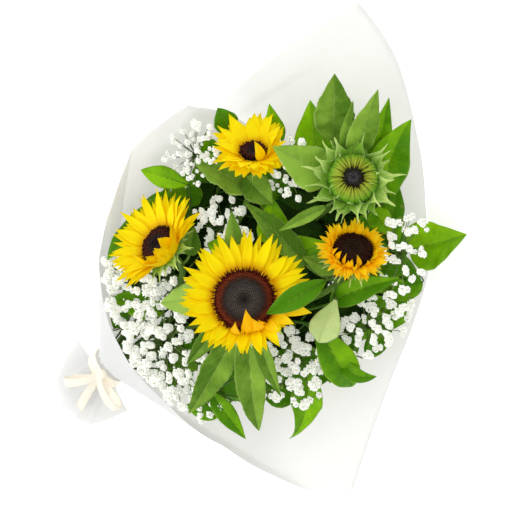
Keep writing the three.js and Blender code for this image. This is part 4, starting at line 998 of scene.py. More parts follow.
def build_disc_tree():
    """Florets in rings by the golden angle on a low dome, smaller and lower towards the middle"""
    bench, given, out = node_group("Disc Florets", {
        "Florets": ("NodeSocketInt", 600), "Radius": ("NodeSocketFloat", 0.03),
        "Dome": ("NodeSocketFloat", 0.006), "Size": ("NodeSocketFloat", 0.002),
        "Spikes": ("NodeSocketFloat", 2.0), "Seed": ("NodeSocketInt", 1), "Fringe": ("NodeSocketFloat", 0.86),
        "Floret": ("NodeSocketObject", None), "Spike": ("NodeSocketObject", None),
        "Finish": ("NodeSocketMaterial", None),
    })
    line = bench.node("GeometryNodeMeshLine", None, {"Count": given["Florets"]})
    index = bench.node("GeometryNodeInputIndex")
    share = bench.maths("SQRT", (index + 0.5) / given["Florets"])
    angle = index * GOLDEN_ANGLE
    reach = share * given["Radius"]
    hollow = bench.maths("EXPONENT", (share / 0.3) ** 2 * -1)
    height = given["Dome"] * (1 - share ** 4) - given["Dome"] * hollow * 0.35
    x, y = bench.maths("COSINE", angle), bench.maths("SINE", angle)
    place = bench.node("ShaderNodeCombineXYZ", None, {0: reach * x, 1: reach * y, 2: height})
    placed = bench.node("GeometryNodeSetPosition", None, {"Geometry": line, "Position": place})
    stored = bench.node("GeometryNodeStoreNamedAttribute", {"data_type": "FLOAT", "domain": "POINT"},
                        {"Geometry": placed, "Name": "share", "Value": share})
    jitter = bench.node("FunctionNodeRandomValue", {"data_type": "FLOAT"},
                        {2: -0.14, 3: 0.14, "Seed": given["Seed"]}, 1)
    varied = bench.node("FunctionNodeRandomValue", {"data_type": "FLOAT"},
                        {2: 0.75, 3: 1.3, "Seed": given["Seed"] + 7}, 1)
    fringed = bench.maths("GREATER_THAN", share, given["Fringe"])
    copies = []
    outer = bench.clamp((share - 0.6) * 4)
    for label, chosen, lean, wide, tall in (
            ("Floret", 1 - fringed, share ** 3 * 0.7, 0.62 + share * 0.5, 1.0 + outer * 0.7),
            ("Spike", fringed, (share - given["Fringe"]) * 16 + 1.1, 1.05, given["Spikes"])):
        aim = bench.node("ShaderNodeCombineXYZ", None, {0: x * lean + jitter, 1: y * lean - jitter, 2: 1.0})
        turn = bench.node("FunctionNodeAlignRotationToVector", {"axis": "Z"}, {"Vector": aim})
        wide = given["Size"] * wide
        scale = bench.node("ShaderNodeCombineXYZ", None, {0: wide, 1: wide, 2: given["Size"] * tall * varied})
        shape = bench.node("GeometryNodeObjectInfo", None, {"Object": given[label]}, "Geometry")
        copies.append(bench.node("GeometryNodeInstanceOnPoints", None, {
            "Points": stored, "Selection": chosen, "Instance": shape, "Rotation": turn, "Scale": scale}))
    real = bench.node("GeometryNodeRealizeInstances", None, {"Geometry": bench.join(copies)})
    painted = bench.node("GeometryNodeSetMaterial", None, {"Geometry": real, "Material": given["Finish"]})
    bench.tree.links.new(painted.socket, out.inputs[0])
    return bench


def build_spray_tree():
    """Stalks along the edges of a skeleton, and blossoms on its points that have a size"""
    bench, given, out = node_group("Spray", {
        "Blossom": ("NodeSocketObject", None), "Bud": ("NodeSocketObject", None),
        "Sides": ("NodeSocketInt", 5), "Stalk Finish": ("NodeSocketMaterial", None),
        "Blossom Finish": ("NodeSocketMaterial", None),
    })

    def named(name, kind="FLOAT"):
        return bench.node("GeometryNodeInputNamedAttribute", {"data_type": kind}, {"Name": name})

    curve = bench.node("GeometryNodeMeshToCurve", None, {"Mesh": given["Geometry"]})
    circle = bench.node("GeometryNodeCurvePrimitiveCircle", {"mode": "RADIUS"},
                        {"Resolution": given["Sides"], "Radius": 1.0})
    stalks = bench.node("GeometryNodeCurveToMesh", None,
                        {"Curve": curve, "Profile Curve": circle, "Scale": named("girth"), "Fill Caps": True})
    stalks = bench.node("GeometryNodeSetMaterial", None,
                        {"Geometry": stalks, "Material": given["Stalk Finish"]})
    size = named("size")
    parts = [stalks]
    for label, low, high in (("Blossom", 0.0, 1.0), ("Bud", 1.0, 3.0)):
        kind = named("kind")
        chosen = bench.maths("GREATER_THAN", size, 0.0001) * bench.maths("GREATER_THAN", kind, low - 0.5)
        chosen = chosen * bench.maths("LESS_THAN", kind, high - 0.5)
        points = bench.node("GeometryNodeMeshToPoints", None,
                            {"Mesh": given["Geometry"], "Selection": chosen})
        aim = named("aim", "FLOAT_VECTOR")
        turn = bench.node("FunctionNodeAlignRotationToVector", {"axis": "Z"}, {"Vector": aim})
        shape = bench.node("GeometryNodeObjectInfo", None, {"Object": given[label]}, "Geometry")
        copies = bench.node("GeometryNodeInstanceOnPoints", None,
                            {"Points": points, "Instance": shape, "Rotation": turn, "Scale": size})
        real = bench.node("GeometryNodeRealizeInstances", None, {"Geometry": copies})
        parts.append(bench.node("GeometryNodeSetMaterial", None,
                                {"Geometry": real, "Material": given["Blossom Finish"]}))
    bench.tree.links.new(bench.join(parts).socket, out.inputs[0])
    return bench


def paper_grid(columns, cone_rows, tail_rows):
    """The middle surface of the wrapping sheet, from its end round the cut stems to its open edge"""
    knots = np.array([row[:4] for row in PAPER_EDGE], float)
    corner = np.array([row[4] for row in PAPER_EDGE])
    slopes = np.zeros_like(knots)
    slopes[1:-1] = (knots[2:] - knots[:-2]) / 2
    slopes[corner == 1] = 0
    u = np.linspace(0, 1, columns)
    at = u * (len(knots) - 1)
    k = np.minimum(at.astype(int), len(knots) - 2)
    t = (at - k)[:, None]
    edge = ((2 * t ** 3 - 3 * t ** 2 + 1) * knots[k] + (t ** 3 - 2 * t ** 2 + t) * slopes[k]
            + (3 * t ** 2 - 2 * t ** 3) * knots[k + 1] + (t ** 3 - t ** 2) * slopes[k + 1])
    turn = np.radians(edge[:, 0])
    right, up = np.cos(turn), np.sin(turn)
    away = np.stack([right, np.zeros_like(right), up], -1)
    radius = PAPER_AT_TIE + PAPER_TURN * u
    pleats = np.sin(17 * turn + 2.2 * np.sin(2 * turn)) * 0.6 + np.sin(29 * turn + 1) * 0.4
    floor = 0.3 + INNER_LAYER * np.clip(3 - at, 0, 1)
    rim = np.array([spot(place) for place in edge[:, 1:]])
    start, low = (TIE + np.stack([radius * right, np.full(columns, float(y)), radius * up], -1)
                  for y in (STRAIGHT / 2, -STRAIGHT / 2))
    wide, high = TAIL_REACH[0] + PAPER_TURN * u, TAIL_REACH[1] + PAPER_TURN * u
    back = np.abs(right) ** 8
    wide = wide + 10 * back
    droop = 7 * np.cos(turn + math.radians(60)) + 2 * np.sin(5 * turn) + 1.5 * np.sin(11 * turn + 2)
    droop = droop - 56 * back
    tail = np.stack([TAIL[0] + wide * right, TAIL[1] - droop, TAIL[2] + high * up], -1)
    rows = []
    for t in np.linspace(0, 1, tail_rows, endpoint=False):
        rows.append(tail + (low - tail) * t + away * (pleats * (0.3 + 0.5 * t))[:, None])
    for t in np.linspace(0, 1, 7, endpoint=False):
        rows.append(low + (start - low) * t + away * (pleats * 0.7 + 0.3)[:, None])
    folds = np.sin(turn * 7 + 1.3) * 0.5 + np.sin(turn * 13 + 0.4) * 0.3 + np.sin(turn * 23) * 0.2
    for t in np.linspace(0, 1, cone_rows):
        row = start + (rim - start) * t
        row[:, 2] -= SAG * np.maximum(-up, 0) * math.sin(math.pi * min(t * 1.2, 1))
        crease = 1.0 * math.exp(-t / 0.10) * pleats + 0.9 * math.sin(math.pi * t) ** 0.7 * (folds + 0.6)
        crease = crease + 1.6 * max(t - 0.75, 0) / 0.25 * folds
        rows.append(row + away * crease[:, None])
    grid = np.stack(rows)
    grid[..., 2] = np.maximum(grid[..., 2], floor)
    return grid


# The string under the sheet: the radius of its laps, where they lie along the tie, and its three strands
STRING_RADIUS, STRING_LAPS, STRANDS, STRAND_RADIUS, STRAND_TWISTS = 15.35, (-5.2, -2.8), 3, 0.5, 24
STRAND_OFF = 0.42
KNOT_RISE = PAPER_AT_TIE + PAPER_TURN + 1.1 + 3.5
BAND = PAPER_AT_TIE + PAPER_TURN + 1.3
KNOT = np.array([TIE[0] + 2, TIE[1], TIE[2] + KNOT_RISE])
# The way that each loop and tail of the bow runs from the knot, in degrees from +X, and the curves that it
# follows, as distance from the knot and height over it
BOW = [
    dict(bearing=239, out=((0, 1), (8, 16), (34, 20), (38, 8)),
         back=((38, 8), (41, -2), (20, 0), (0, -2))),
    dict(bearing=-12, out=((0, 1), (10, 14), (34, 14), (40, 2)),
         back=((40, 2), (44, -12), (20, -6), (0, -2))),
    dict(bearing=284, out=((0, 0), (12, 8), (28, 3), (50, -5)), back=None),
    dict(bearing=-34, out=((0, 0), (14, 7), (30, -6), (42, -22)), back=None),
]


def ribbon_strip(run, seed):
    """One loop or tail of the bow, gathered at the knot"""
    turn = math.radians(run["bearing"])
    away = np.array([math.cos(turn), math.sin(turn), 0.0])
    wide = np.array([-away[1], away[0], 0.0])
    curves = [run["out"]] + ([run["back"]] if run["back"] else [])
    path = np.vstack([cubic(*[KNOT + away * far + UP * high for far, high in curve], 26)[i > 0:]
                      for i, curve in enumerate(curves)])
    share = np.linspace(0, 1, len(path))[:, None]
    loose = np.clip(share * (1.0 if run["back"] else 0.5) * 1.02, 0, 1)
    gather = 0.42 + 0.58 * np.sin(math.pi * loose) ** 0.5
    w = np.linspace(1, -1, 11)[None, :]
    half = 5.0 * gather
    forward = unit(np.gradient(path, axis=0))
    normal = unit(np.cross(forward, wide))
    bow = -0.9 * gather * w ** 2 + 0.35 * np.sin(share * 30 + 3 * w + seed) * np.abs(w)
    bow = bow + 0.5 * np.sin(share * 110 + 2 * seed) * w ** 6
    grid = path[:, None, :] + wide * (half * w)[..., None] + normal[:, None, :] * bow[..., None]
    if not run["back"]:
        cut = np.clip((share - 0.86) / 0.14, 0, 1) * (w * 3.0 - np.abs(w) * 1.0)
        grid = grid + forward[:, None, :] * cut[..., None]
    return shell(grid, 0.5)


# How far the cushion under the florets of an open bloom stands over the disc's plane
CUSHION_RISE = 1.2


def seat_florets(tree, name, place, finish_name, values, lift, profile, shares, sides, faceted=False):
    """A disc's florets on a solid cushion, whose rings store the share that the disc's colours go by"""
    floret, spike = floret_mesh(), spike_mesh()
    seat = helper("seat", [(0, 0, 0)])
    run_group(seat, tree, {
        **values, "Floret": floret, "Spike": spike, "Finish": FINISHES[finish_name],
    })
    made = plain_copy(seat, name)
    points = np.empty(len(made.data.vertices) * 3)
    made.data.vertices.foreach_get("co", points)
    points = points.reshape(-1, 3) / MM + UP * lift
    made.data.vertices.foreach_set("co", ((place(points) - CENTRE) * MM).ravel())
    made.data.update()
    cushion = Piece("cushion", [FINISHES[finish_name]])
    cushion.add(lathe(place, profile, sides))
    base = cushion.make()
    stored = base.data.attributes.new("share", "FLOAT", "POINT")
    stored.data.foreach_set("value", np.repeat(shares, sides))
    with bpy.context.temp_override(active_object=made, selected_editable_objects=[made, base]):
        bpy.ops.object.join()
    if faceted:
        made.data.polygons.foreach_set("use_smooth", [False] * len(made.data.polygons))
    for source in (floret, spike):
        bpy.data.objects.remove(source)
    return made


def start_greens(head, place, facing, profile):
    """A sunflower's green piece, with its stem and receptacle so far, and the stem's coarse path"""
    greens = Piece(f"{head['name']}_greens", [FINISHES[key] for key in ("leaf", "stem", "bract")])
    neck = spot(head["at"]) - facing * NECK
    greens.add(tube(stem_path(head["slot"], neck, facing, FINE_STEPS), SUNFLOWER_STEM, 12), 1)
    greens.add(lathe(place, profile, 40), 1)
    return greens, stem_path(head["slot"], neck, facing, STEM_STEPS)


def tint(name, description, code):
    return bpy.props.FloatVectorProperty(name=name, description=description, default=srgb(code),
                                         subtype="COLOR")


def measure(name, description, default):
    return bpy.props.FloatProperty(name=name, description=description, default=default, subtype="DISTANCE",
                                   unit="LENGTH")


class BouquetPaper(bpy.types.PropertyGroup):
    """The wrapping sheet"""
    thickness: measure("Sheet thickness", "Thickness of the paper", 0.00045)


class BouquetTints(bpy.types.PropertyGroup):
    """The colours of the paper, the ribbon, the flowers and the leaves"""
    paper_white: tint("Paper", "Colour of the paper", "#cacac8")
    ribbon_cream: tint("Ribbon", "Colour of the ribbon", "#f8f3e6")
    petal_yellow: tint("Petals", "Colour of the open petals", "#fbdc00")
    leaf_green: tint("Sunflower leaves", "Colour of the matt leaves", "#94bd42")
    glossy_green: tint("Glossy leaves", "Colour of the glossy leaves", "#98d402")
    blossom_white: tint("Gypsophila", "Colour of the small blossoms", "#fbfbf7")


class BouquetSizes(bpy.types.PropertyGroup):
    """The sizes of the finer parts"""
    floret: measure("Disc floret", "Width of a floret of the front disc", 0.0021)
    blossom: measure("Blossom", "Width of a gypsophila blossom", 0.0088)
    seed: bpy.props.IntProperty(name="Seed", description="Seed of every random draw", default=7)


class BOUQUET_OT_finishes(bpy.types.Operator):
    """Make the materials of the bunch"""
    bl_idname = "bouquet.finishes"
    bl_label = "Finishes"

    def execute(self, context):
        FINISHES.update(make_finishes(context.scene.bouquet_tints))
        return {"FINISHED"}


class BOUQUET_OT_wrap(bpy.types.Operator):
    """Make the paper sheet, the ribbon with its bow, and the string under them"""
    bl_idname = "bouquet.wrap"
    bl_label = "Wrap"

    def execute(self, context):
        sheet = Piece("paper_sheet", [FINISHES["paper"]])
        sheet.add(shell(paper_grid(250, 50, 14), context.scene.bouquet_paper.thickness / MM))
        place_piece(sheet.make(), "white_paper", "wrap_sheet")

        bow = Piece("ribbon_bow", [FINISHES["ribbon"]])
        around = np.linspace(0, 2 * math.pi, 73)
        w = np.linspace(-1, 1, 11)
        wrinkle = 0.25 * np.sin(7 * around)[:, None] * np.cos(2.5 * w)[None, :]
        reach = BAND + 0.5 + wrinkle - 0.4 * (1 - w[None, :] ** 2)
        band = np.stack([TIE[0] + reach * np.cos(around)[:, None],
                         TIE[1] + BAND_WIDTH / 2 * w[None, :] + 0 * reach,
                         TIE[2] + reach * np.sin(around)[:, None]], -1)
        bow.add(shell(band[::-1], 0.6))
        for seed, run in enumerate(BOW):
            bow.add(ribbon_strip(run, seed))
        lump = KNOT + np.linspace(-8, 8, 15)[:, None] * np.array([0, 1.0, 0]) + np.array([0, 0, -0.5])
        girth = 4.9 - 0.9 * np.abs(np.linspace(-1, 1, 15)) ** 2 + 0.25 * np.sin(np.arange(15) * 2.1)
        points, faces, uv, under = tube(lump, girth, 18)
        bow.add((points, faces, uv * 0.15, under))
        place_piece(bow.make(), "cream_ribbon", "ribbon")

        string = Piece("tying_string", [FINISHES["twine"]])
        turn = np.linspace(0, 2 * math.pi, 145)
        for strand in range(STRANDS):
            for lap in STRING_LAPS:
                twist = turn * STRAND_TWISTS + strand * 2 * math.pi / STRANDS
                reach = STRING_RADIUS + STRAND_OFF * np.cos(twist)
                path = np.stack([TIE[0] + reach * np.cos(turn), TIE[1] + lap + STRAND_OFF * np.sin(twist),
                                 TIE[2] - 0.4 + reach * np.sin(turn)], -1)
                string.add(tube(path, STRAND_RADIUS, 6))
        place_piece(string.make(), "twine", "stem_twine")
        return {"FINISHED"}


class BOUQUET_OT_blooms(bpy.types.Operator):
    """Make the four open sunflowers: discs, petals, stems, leaves and bracts"""
    bl_idname = "bouquet.blooms"
    bl_label = "Blooms"

    def execute(self, context):
        tree = build_disc_tree()
        for head in HEADS:
            self.disc(head, tree, context.scene.bouquet_sizes)
            self.rays(head)
            self.greens(head)
        return {"FINISHED"}

    def disc(self, head, tree, sizes):
        """The dark disc: florets with a fringe of spikes on a low dome that is hollow in the middle"""
        place, _ = head_frame(head)
        name = head["name"]
        big = name == "front"
        radius = head["disc"] * 0.97
        size = sizes.floret / MM * (1 if big else 0.95)
        shares = np.linspace(1, 0.04, 16)
        heights = head["dome"] * (1 - shares ** 4) - head["dome"] * 0.35 * np.exp(-((shares / 0.3) ** 2))
        profile = [(head["disc"] - 1, -0.6)]
        profile += [(head["disc"] * s, CUSHION_RISE + h) for s, h in zip(shares, heights)]
        made = seat_florets(
            tree, f"{name}_disc_florets", place,
            {"front": "front_disc", "right": "brown_disc"}.get(name, "dark_disc"),
            {"Florets": int(1.02 * (radius / size * 2) ** 2 * 0.9), "Radius": radius * MM,
             "Dome": head["dome"] * MM, "Size": size * MM, "Spikes": 2.7 if big else 1.9, "Seed": sizes.seed,
             "Fringe": 0.91},
            CUSHION_RISE, profile, np.concatenate([[1.0], shares]), 48, faceted=True)
        place_piece(made, "dark_disc", f"sunflower_{name}_disc")

    def rays(self, head):
        """The petals on their ring: two layers as on the solid, two under them, then inner and loose ones"""
        place, _ = head_frame(head)
        name = head["name"]
        amber = name == "right"
        rays = Piece(f"{name}_petals", [FINISHES["amber" if amber else "yellow"], FINISHES["amber"]])
        # The ring that joins the petals' roots round the disc takes a petal's colour near its root, a darker
        # orange: painted shade under the petals.
        rim = [(head["disc"] + out, height) for out, height in ((-6, -4.2), (2.4, -4.2), (2.6, 0), (-6, 0.4))]
        points, faces, uv, under = lathe(place, rim, 40)
        rays.add((points, faces, uv * 0 + 0.24, under), 0, 0.2)
        for i in range(head["petals"]):
            shape = petal_shape(head, i)
            tone = 0.3 + 0.5 * chance(i, 60) - (0.35 if shape["folded"] else 0)
            if amber:
                shape["length"] *= 0.6 + 0.55 * chance(i, 87)
                shape["round"] += 0.1 * math.sin(7 * shape["round"])
            self.shorten(name, shape)
            hook = 0.0 if shape["folded"] else math.radians((120 if amber else 34) * (chance(i, 67) - 0.5))
            orange = int(shape["folded"] and name == "front")
            petal = petal_surface(place, shape, i, 14, 7 if amber else 9, keel=0.55,
                                  twist=1.6 if amber else 0.4, hook=hook)
            rays.add(petal, orange, tone + 0.4 * orange)
        for layer, (start, rise, long) in enumerate([(-1.6, 4, 0.98), (-4.2, -8, 1.0)]):
            for i in range(head["petals"]):
                if layer == 0 and name == "front" and folded_over(head, 360 * (i + 0.5) / head["petals"]):
                    continue
                seed = 100 * (layer + 1) + i
                at = i + 0.5 * layer + 0.25 + 0.5 * (chance(seed, 61) - 0.5)
                turn = 2 * math.pi * at / head["petals"]
                shape = open_petal(head, turn, start, long * (0.8 + 0.3 * chance(seed, 62)),
                                   0.66 + 0.3 * chance(seed, 69), rise + 8 * (chance(seed, 68) - 0.5),
                                   16 * (chance(seed, 70) - 0.5))
                self.shorten(name, shape)
                if amber:
                    shape["length"] *= 0.88
                    shape["round"] += 0.1 * math.sin(7 * turn)
                hook = math.radians((130 if amber else 50) * (chance(seed, 67) - 0.5))
                petal = petal_surface(place, shape, seed, 12, 7, keel=0.5, twist=1.4 if amber else 0.5,
                                      hook=hook)
                rays.add(petal, 0, 0.25 + 0.5 * chance(seed, 63))
        for i in range(INNER_PETALS if amber else 0):
            shape = dict(
                round=2 * math.pi * (i + 0.8 * chance(i, 80)) / INNER_PETALS,
                radius=head["disc"] + 3 * chance(i, 86) - 0.5,
                start=1.0,
                length=9 + 9 * chance(i, 81),
                width=4 + 3 * chance(i, 82),
                rise=math.radians(46 + 40 * chance(i, 83)),
                bend=math.radians(150 * (chance(i, 84) - 0.45)),
            )
            rays.add(petal_surface(place, shape, 300 + i, 10, 5, keel=0.4, twist=1.2), 0, 0.6 * chance(i, 85))
        for i, (turn, length, width, rise, bend) in enumerate(LOOSE_PETALS.get(name, [])):
            shape = dict(round=math.radians(turn), radius=head["disc"] + 0.5, start=1.2, length=length,
                         width=width, rise=math.radians(rise), bend=math.radians(bend))
            rays.add(petal_surface(place, shape, 400 + i, 16, 9, keel=0.6, twist=0.5), 1, 0.35)
        place_piece(rays.make(), "amber_petal" if amber else "yellow_petal", f"sunflower_{name}_rays")

    def shorten(self, name, shape):
        """Makes a petal of the front bloom short where the loose petals lie over it"""
        low, high = SHORT_PETALS
        if name == "front" and low < math.degrees(shape["round"]) % 360 < high:
            shape["length"] *= SHORT_SHARE

    def greens(self, head):
        """The stem, the receptacle, three whorls of bracts and the leaves"""
        place, facing = head_frame(head)
        name, d = head["name"], head["disc"]
        profile = [(3.4, -22), (4.6, -19), (d * 0.36, -15.5), (d * 0.6, -12), (d * 0.8, -9.5),
                   (d * 0.95, -7.5), (d * 0.97, -5)]
        greens, coarse = start_greens(head, place, facing, profile)
        for whorl, (count, drop, reach) in enumerate([(9, 0, 1.0), (11, 1.4, 0.86), (9, 2.6, 0.66)]):
            for i in range(count):
                shape = dict(
                    round=2 * math.pi * (i + 0.3 * chance(i, 5) + 0.37 * whorl) / count,
                    radius=d * (0.86 - 0.06 * whorl),
                    start=-7 - drop,
                    length=head["bract_length"] * (0.85 + 0.3 * chance(i, 6 + 3 * whorl)) * reach,
                    width=2.0 * math.pi * d / count,
                    rise=math.radians(head["bract_cup"] - 8 * chance(i, 7) - 6 * whorl),
                    bend=math.radians(-22 * chance(i, 8 + whorl)),
                )
                bract = petal_surface(place, shape, i + 20 * whorl, 12, 7, 0.5, bract_outline, 0.25)
                greens.add(bract, 2, 0.3 + 0.4 * chance(i, 64))
        for i, blade in enumerate(SUNFLOWER_LEAVES[name]):
            add_leaf(greens, blade, i, root_on(coarse, blade), SUNFLOWER_LEAF_STALK, 0, 1, 0.10, 0.9,
                     blade.get("tone", 0.35 + 0.3 * chance(i, 65)))
        place_piece(greens.make(), "sunflower_green", f"sunflower_{name}_greens")


# The bud's bracts: how many, their distance from the middle, their height, length, width, rise and bend
BUD_WHORLS = [(9, 24.5, -2.1, 31, 14, 66, -66), (9, 23.5, -3.9, 36, 16, 28, -10),
              (8, 22, -5.8, 31, 15, -8, 26), (13, 25, -1.5, 18, 11, 84, 48)]
# How much the tips of the bud's bracts hook up or down, in turns, in degrees
BUD_HOOKS = (-170, 150, -90, 110)


class BOUQUET_OT_bud(bpy.types.Operator):
    """Make the green sunflower that is half open: its eye, its closed rays, its bracts, stem and leaves"""
    bl_idname = "bouquet.bud"
    bl_label = "Bud"

    def execute(self, context):
        place, facing = head_frame(BUD)
        disc, eye = BUD["disc"], BUD["eye"]
        rays = Piece("bud_closed_rays", [FINISHES["bud_rays"]])
        ball = [(disc - 5, -1), (disc - 0.8, 4), (disc - 3, 9), (disc - 9.6, 12.6), (eye + 0.9, 11.6),
                (eye + 0.5, 8.6)]
        rays.add(lathe(place, ball, 64), 0, 0.2)
        for i in range(BUD_RAYS):
            shape = dict(
                round=2 * math.pi * (i + 0.25 * (chance(i, 70) - 0.5)) / BUD_RAYS,
                radius=disc - 0.2,
                start=2.2,
                length=24 + 3 * chance(i, 71),
                width=4.9,
                rise=math.radians(66 + 8 * chance(i, 72)),
                bend=math.radians(146 + 8 * chance(i, 73)),
            )
            ray = petal_surface(place, shape, 200 + i, 14, 5, 0.6, closed_outline, 0.2, 0.25)
            rays.add(ray, 0, 0.2 + 0.6 * chance(i, 74))
        place_piece(rays.make(), "bud_rays", "sunflower_bud_rays")

        profile = [(3.4, -22), (4.6, -19), (14, -12), (disc - 4, -9), (disc + 0.6, -7), (disc + 0.6, -1.6)]
        greens, coarse = start_greens(BUD, place, facing, profile)
        for whorl, (count, radius, start, length, width, rise, bend) in enumerate(BUD_WHORLS):
            for i in range(count):
                shape = dict(
                    round=2 * math.pi * (i + whorl / 3 + 0.2 * chance(i, whorl)) / count,
                    radius=radius,
                    start=start,
                    length=length * (0.76 + 0.4 * chance(i, 10 + whorl)),
                    width=width * 1.1,
                    rise=math.radians(rise + 24 * (chance(i, 13 + whorl) - 0.5)),
                    bend=math.radians(bend + 40 * (chance(i, 16 + whorl) - 0.5)),
                )
                hook = math.radians(BUD_HOOKS[(i + whorl) % 4] * (0.4 + 0.8 * chance(i, 77 + whorl)))
                bract = petal_surface(place, shape, i + 30 * whorl, 18, 7, 0.6, bract_outline, 0.9, 1.8, hook)
                greens.add(bract, 2, 0.2 + 0.7 * chance(i, 75))
        for i, blade in enumerate(SUNFLOWER_LEAVES["bud"]):
            add_leaf(greens, blade, i + 10, root_on(coarse, blade), SUNFLOWER_LEAF_STALK, 0, 1, 0.08, 0.8,
                     blade.get("tone", 0.5 + 0.3 * chance(i, 76)))
        place_piece(greens.make(), "bud_green", "sunflower_bud_greens")

        made = seat_florets(
            build_disc_tree(), "bud_eye_florets", place, "eye",
            {"Florets": 110, "Radius": eye * MM * 0.98, "Dome": 0.003, "Size": 0.0021, "Spikes": 2.0,
             "Seed": context.scene.bouquet_sizes.seed, "Fringe": 0.8},
            11, [(eye - 0.2, 9), (eye, 11), (eye * 0.72, 12.8), (eye * 0.45, 13.6), (eye * 0.1, 13.7)],
            [1.0, 1.0, 0.72, 0.45, 0.1], 32)
        place_piece(made, "dark_disc", "sunflower_bud_eye")
        return {"FINISHED"}


# The patches whose depth the small leaves fill: across, along and reach
DEPTHS = [(20, 6, 140), (52, -104, 56), (0, 158, 42), (-20, -116, 54), (-62, -92, 54), (106, 26, 50),
          (108, 78, 44)]
# The grid of places that are tried for a small leaf and its step, the heights over the sheet that are tried
# there in turn, how near the edge of the patches the leaves keep the glossy finish (deeper in they take the
# dark shaded finish, painted shade), and the room that each keeps from solids
DEPTH_COLUMNS, DEPTH_ROWS, DEPTH_STEP = range(-10, 13), range(-13, 12), 14
LEAF_RISES = (12, 22, 34, 48)
LIT_EDGE = 34
LEAF_ROOM = 1.6


def depth_edge(across, along):
    """How far a place is outside the patches of small leaves, less than nothing inside them"""
    return min(math.hypot(across - x, along - y) - reach for x, y, reach in DEPTHS)


class BOUQUET_OT_foliage(bpy.types.Operator):
    """Make the stems of glossy foliage, with the small leaves that fill the depth of the bunch"""
    bl_idname = "bouquet.foliage"
    bl_label = "Foliage"

    def execute(self, context):
        self.solids, self.papers = barrier(()), barrier(("wrap_sheet",), only=True)
        plants = {}
        for n, (name, (slot, blades)) in enumerate(FOLIAGE.items()):
            finishes = [FINISHES[key] for key in ("glossy", "glossy_stem", "pale_leaf", "shaded")]
            plant = Piece(name.replace("foliage", "glossy"), finishes)
            last = blades[-1]
            end = spot(last["base"])
            arrive = unit(unit(end - TIE) + 0.5 * unit(spot(last["tip"]) - end))
            path = stem_path(slot, end, arrive, FINE_STEPS)
            plant.add(tube(path, FOLIAGE_STEM, 8), 1)
            coarse = stem_path(slot, end, arrive, STEM_STEPS)
            for i, blade in enumerate(blades):
                root = None if blade is last else root_on(coarse, blade)
                tone = blade.get("tone", 0.35 + 0.4 * chance(i + n, 66))
                paint = 2 if blade.get("pale") else 0
                add_leaf(plant, blade, i + 7 * n, root, LEAF_STALK, paint, 1, 0.0, 0.5, tone)
            plants[name] = (plant, path)
        self.fill(plants)
        for name, (plant, _) in plants.items():
            place_piece(plant.make(), "glossy_green", name)
        return {"FINISHED"}

    def fill(self, plants):
        """Small leaves where someone would see the paper between the stems, on stalks from the nearest one"""
        seed = 0
        for i in DEPTH_COLUMNS:
            for j in DEPTH_ROWS:
                seed += 1
                across = (i + 0.7 * (chance(seed, 90) - 0.5)) * DEPTH_STEP
                along = (j + 0.7 * (chance(seed, 91) - 0.5)) * DEPTH_STEP
                outside = depth_edge(across, along)
                if outside > 0:
                    continue
                above = spot((across, along, 0)) + FACING * 400
                seen, _ = hit(self.papers, above, -FACING)
                if seen is None:
                    continue
                for rise in LEAF_RISES:
                    if self.small_leaf(plants, seen + FACING * rise, seed, outside > -LIT_EDGE):
                        break

    def pierced(self, start, places):
        """Whether the sheet lies between a place and any of the others"""
        ways = [np.asarray(place) - start for place in places]
        return any(hit(self.papers, start, unit(way), np.linalg.norm(way) + 3)[0] is not None for way in ways)

    def small_leaf(self, plants, middle, seed, lit):
        """One small leaf with its stalk. Returns whether there is room for it inside the sheet."""
        turn = 2 * math.pi * chance(seed, 92)
        way = ACROSS * math.cos(turn) + HEADWARD * math.sin(turn) + FACING * 0.5 * (chance(seed, 93) - 0.4)
        way = unit(way)
        half = 20 + 6 * chance(seed, 94)
        plant, path = min(plants.values(), key=lambda p: np.linalg.norm(p[1] - middle, axis=1).min())
        root = path[np.linalg.norm(path - middle, axis=1).argmin()]
        if way @ (middle - root) < 0:
            way = -way
        base, tip = middle - way * half, middle + way * half
        if max(depth_edge(*flat(base)[:2]), depth_edge(*flat(tip)[:2])) > 3 or paper_room(tip) < 3:
            return False
        blade = leaf(flat(base), flat(tip), 20 + 6 * chance(seed, 95), arch=0.08,
                     roll=50 * (chance(seed, 96) - 0.5))
        surface, rib = blade_surface(blade, seed, 9, 5, 0, 0.2)
        side = unit(np.cross(way, FACING))
        probes = [base + (tip - base) * s + side * w * 10 for s in (0, 0.3, 0.6, 1) for w in (-0.8, 0, 0.8)]
        if any(not clear(self.solids, p, LEAF_ROOM) for p in probes + [rib[4]]):
            return False
        lean = base - way * 8
        lean[2] = max(lean[2], LEAF_FLOOR)
        blade_points = [*surface[0][::2], base, tip]
        if self.pierced(root, [lean]) or self.pierced(lean, [middle]) or self.pierced(middle, blade_points):
            return False
        # Leaves away from the patches' edge take the dark shaded finish: painted shade in the bunch's depth.
        plant.add(surface, 0 if lit else 3, chance(seed, 97) * (0.5 if lit else 1))
        plant.add(tube(cubic(root, (root + lean) / 2, lean, rib[0], 6), 0.8, 5), 1, 0.2)
        return True


# How far the twigs reach past their patch, and how many more each patch at the side has
SPREAD, WING_TWIGS = 1.22, 20
# The room from the sheet's open edge and from every solid that a blossom and a twig's end keep
BLOSSOM_ROOM, TWIG_ROOM = (4, 2.8), (5, 1.5)
# The radius of a twig at its start and end, the length of a blossom's stalk, how many are tried on a twig's
# end, and the share of blossoms that are still closed
TWIG, BLOSSOM_STALK, TRIES, CLOSED = (0.52, 0.36), (2.6, 6.6), (3, 8), 0.16
# The middle from which the room inside the sheet's edge is measured
PAPER_MIDDLE = np.array([20.0, 0.0])


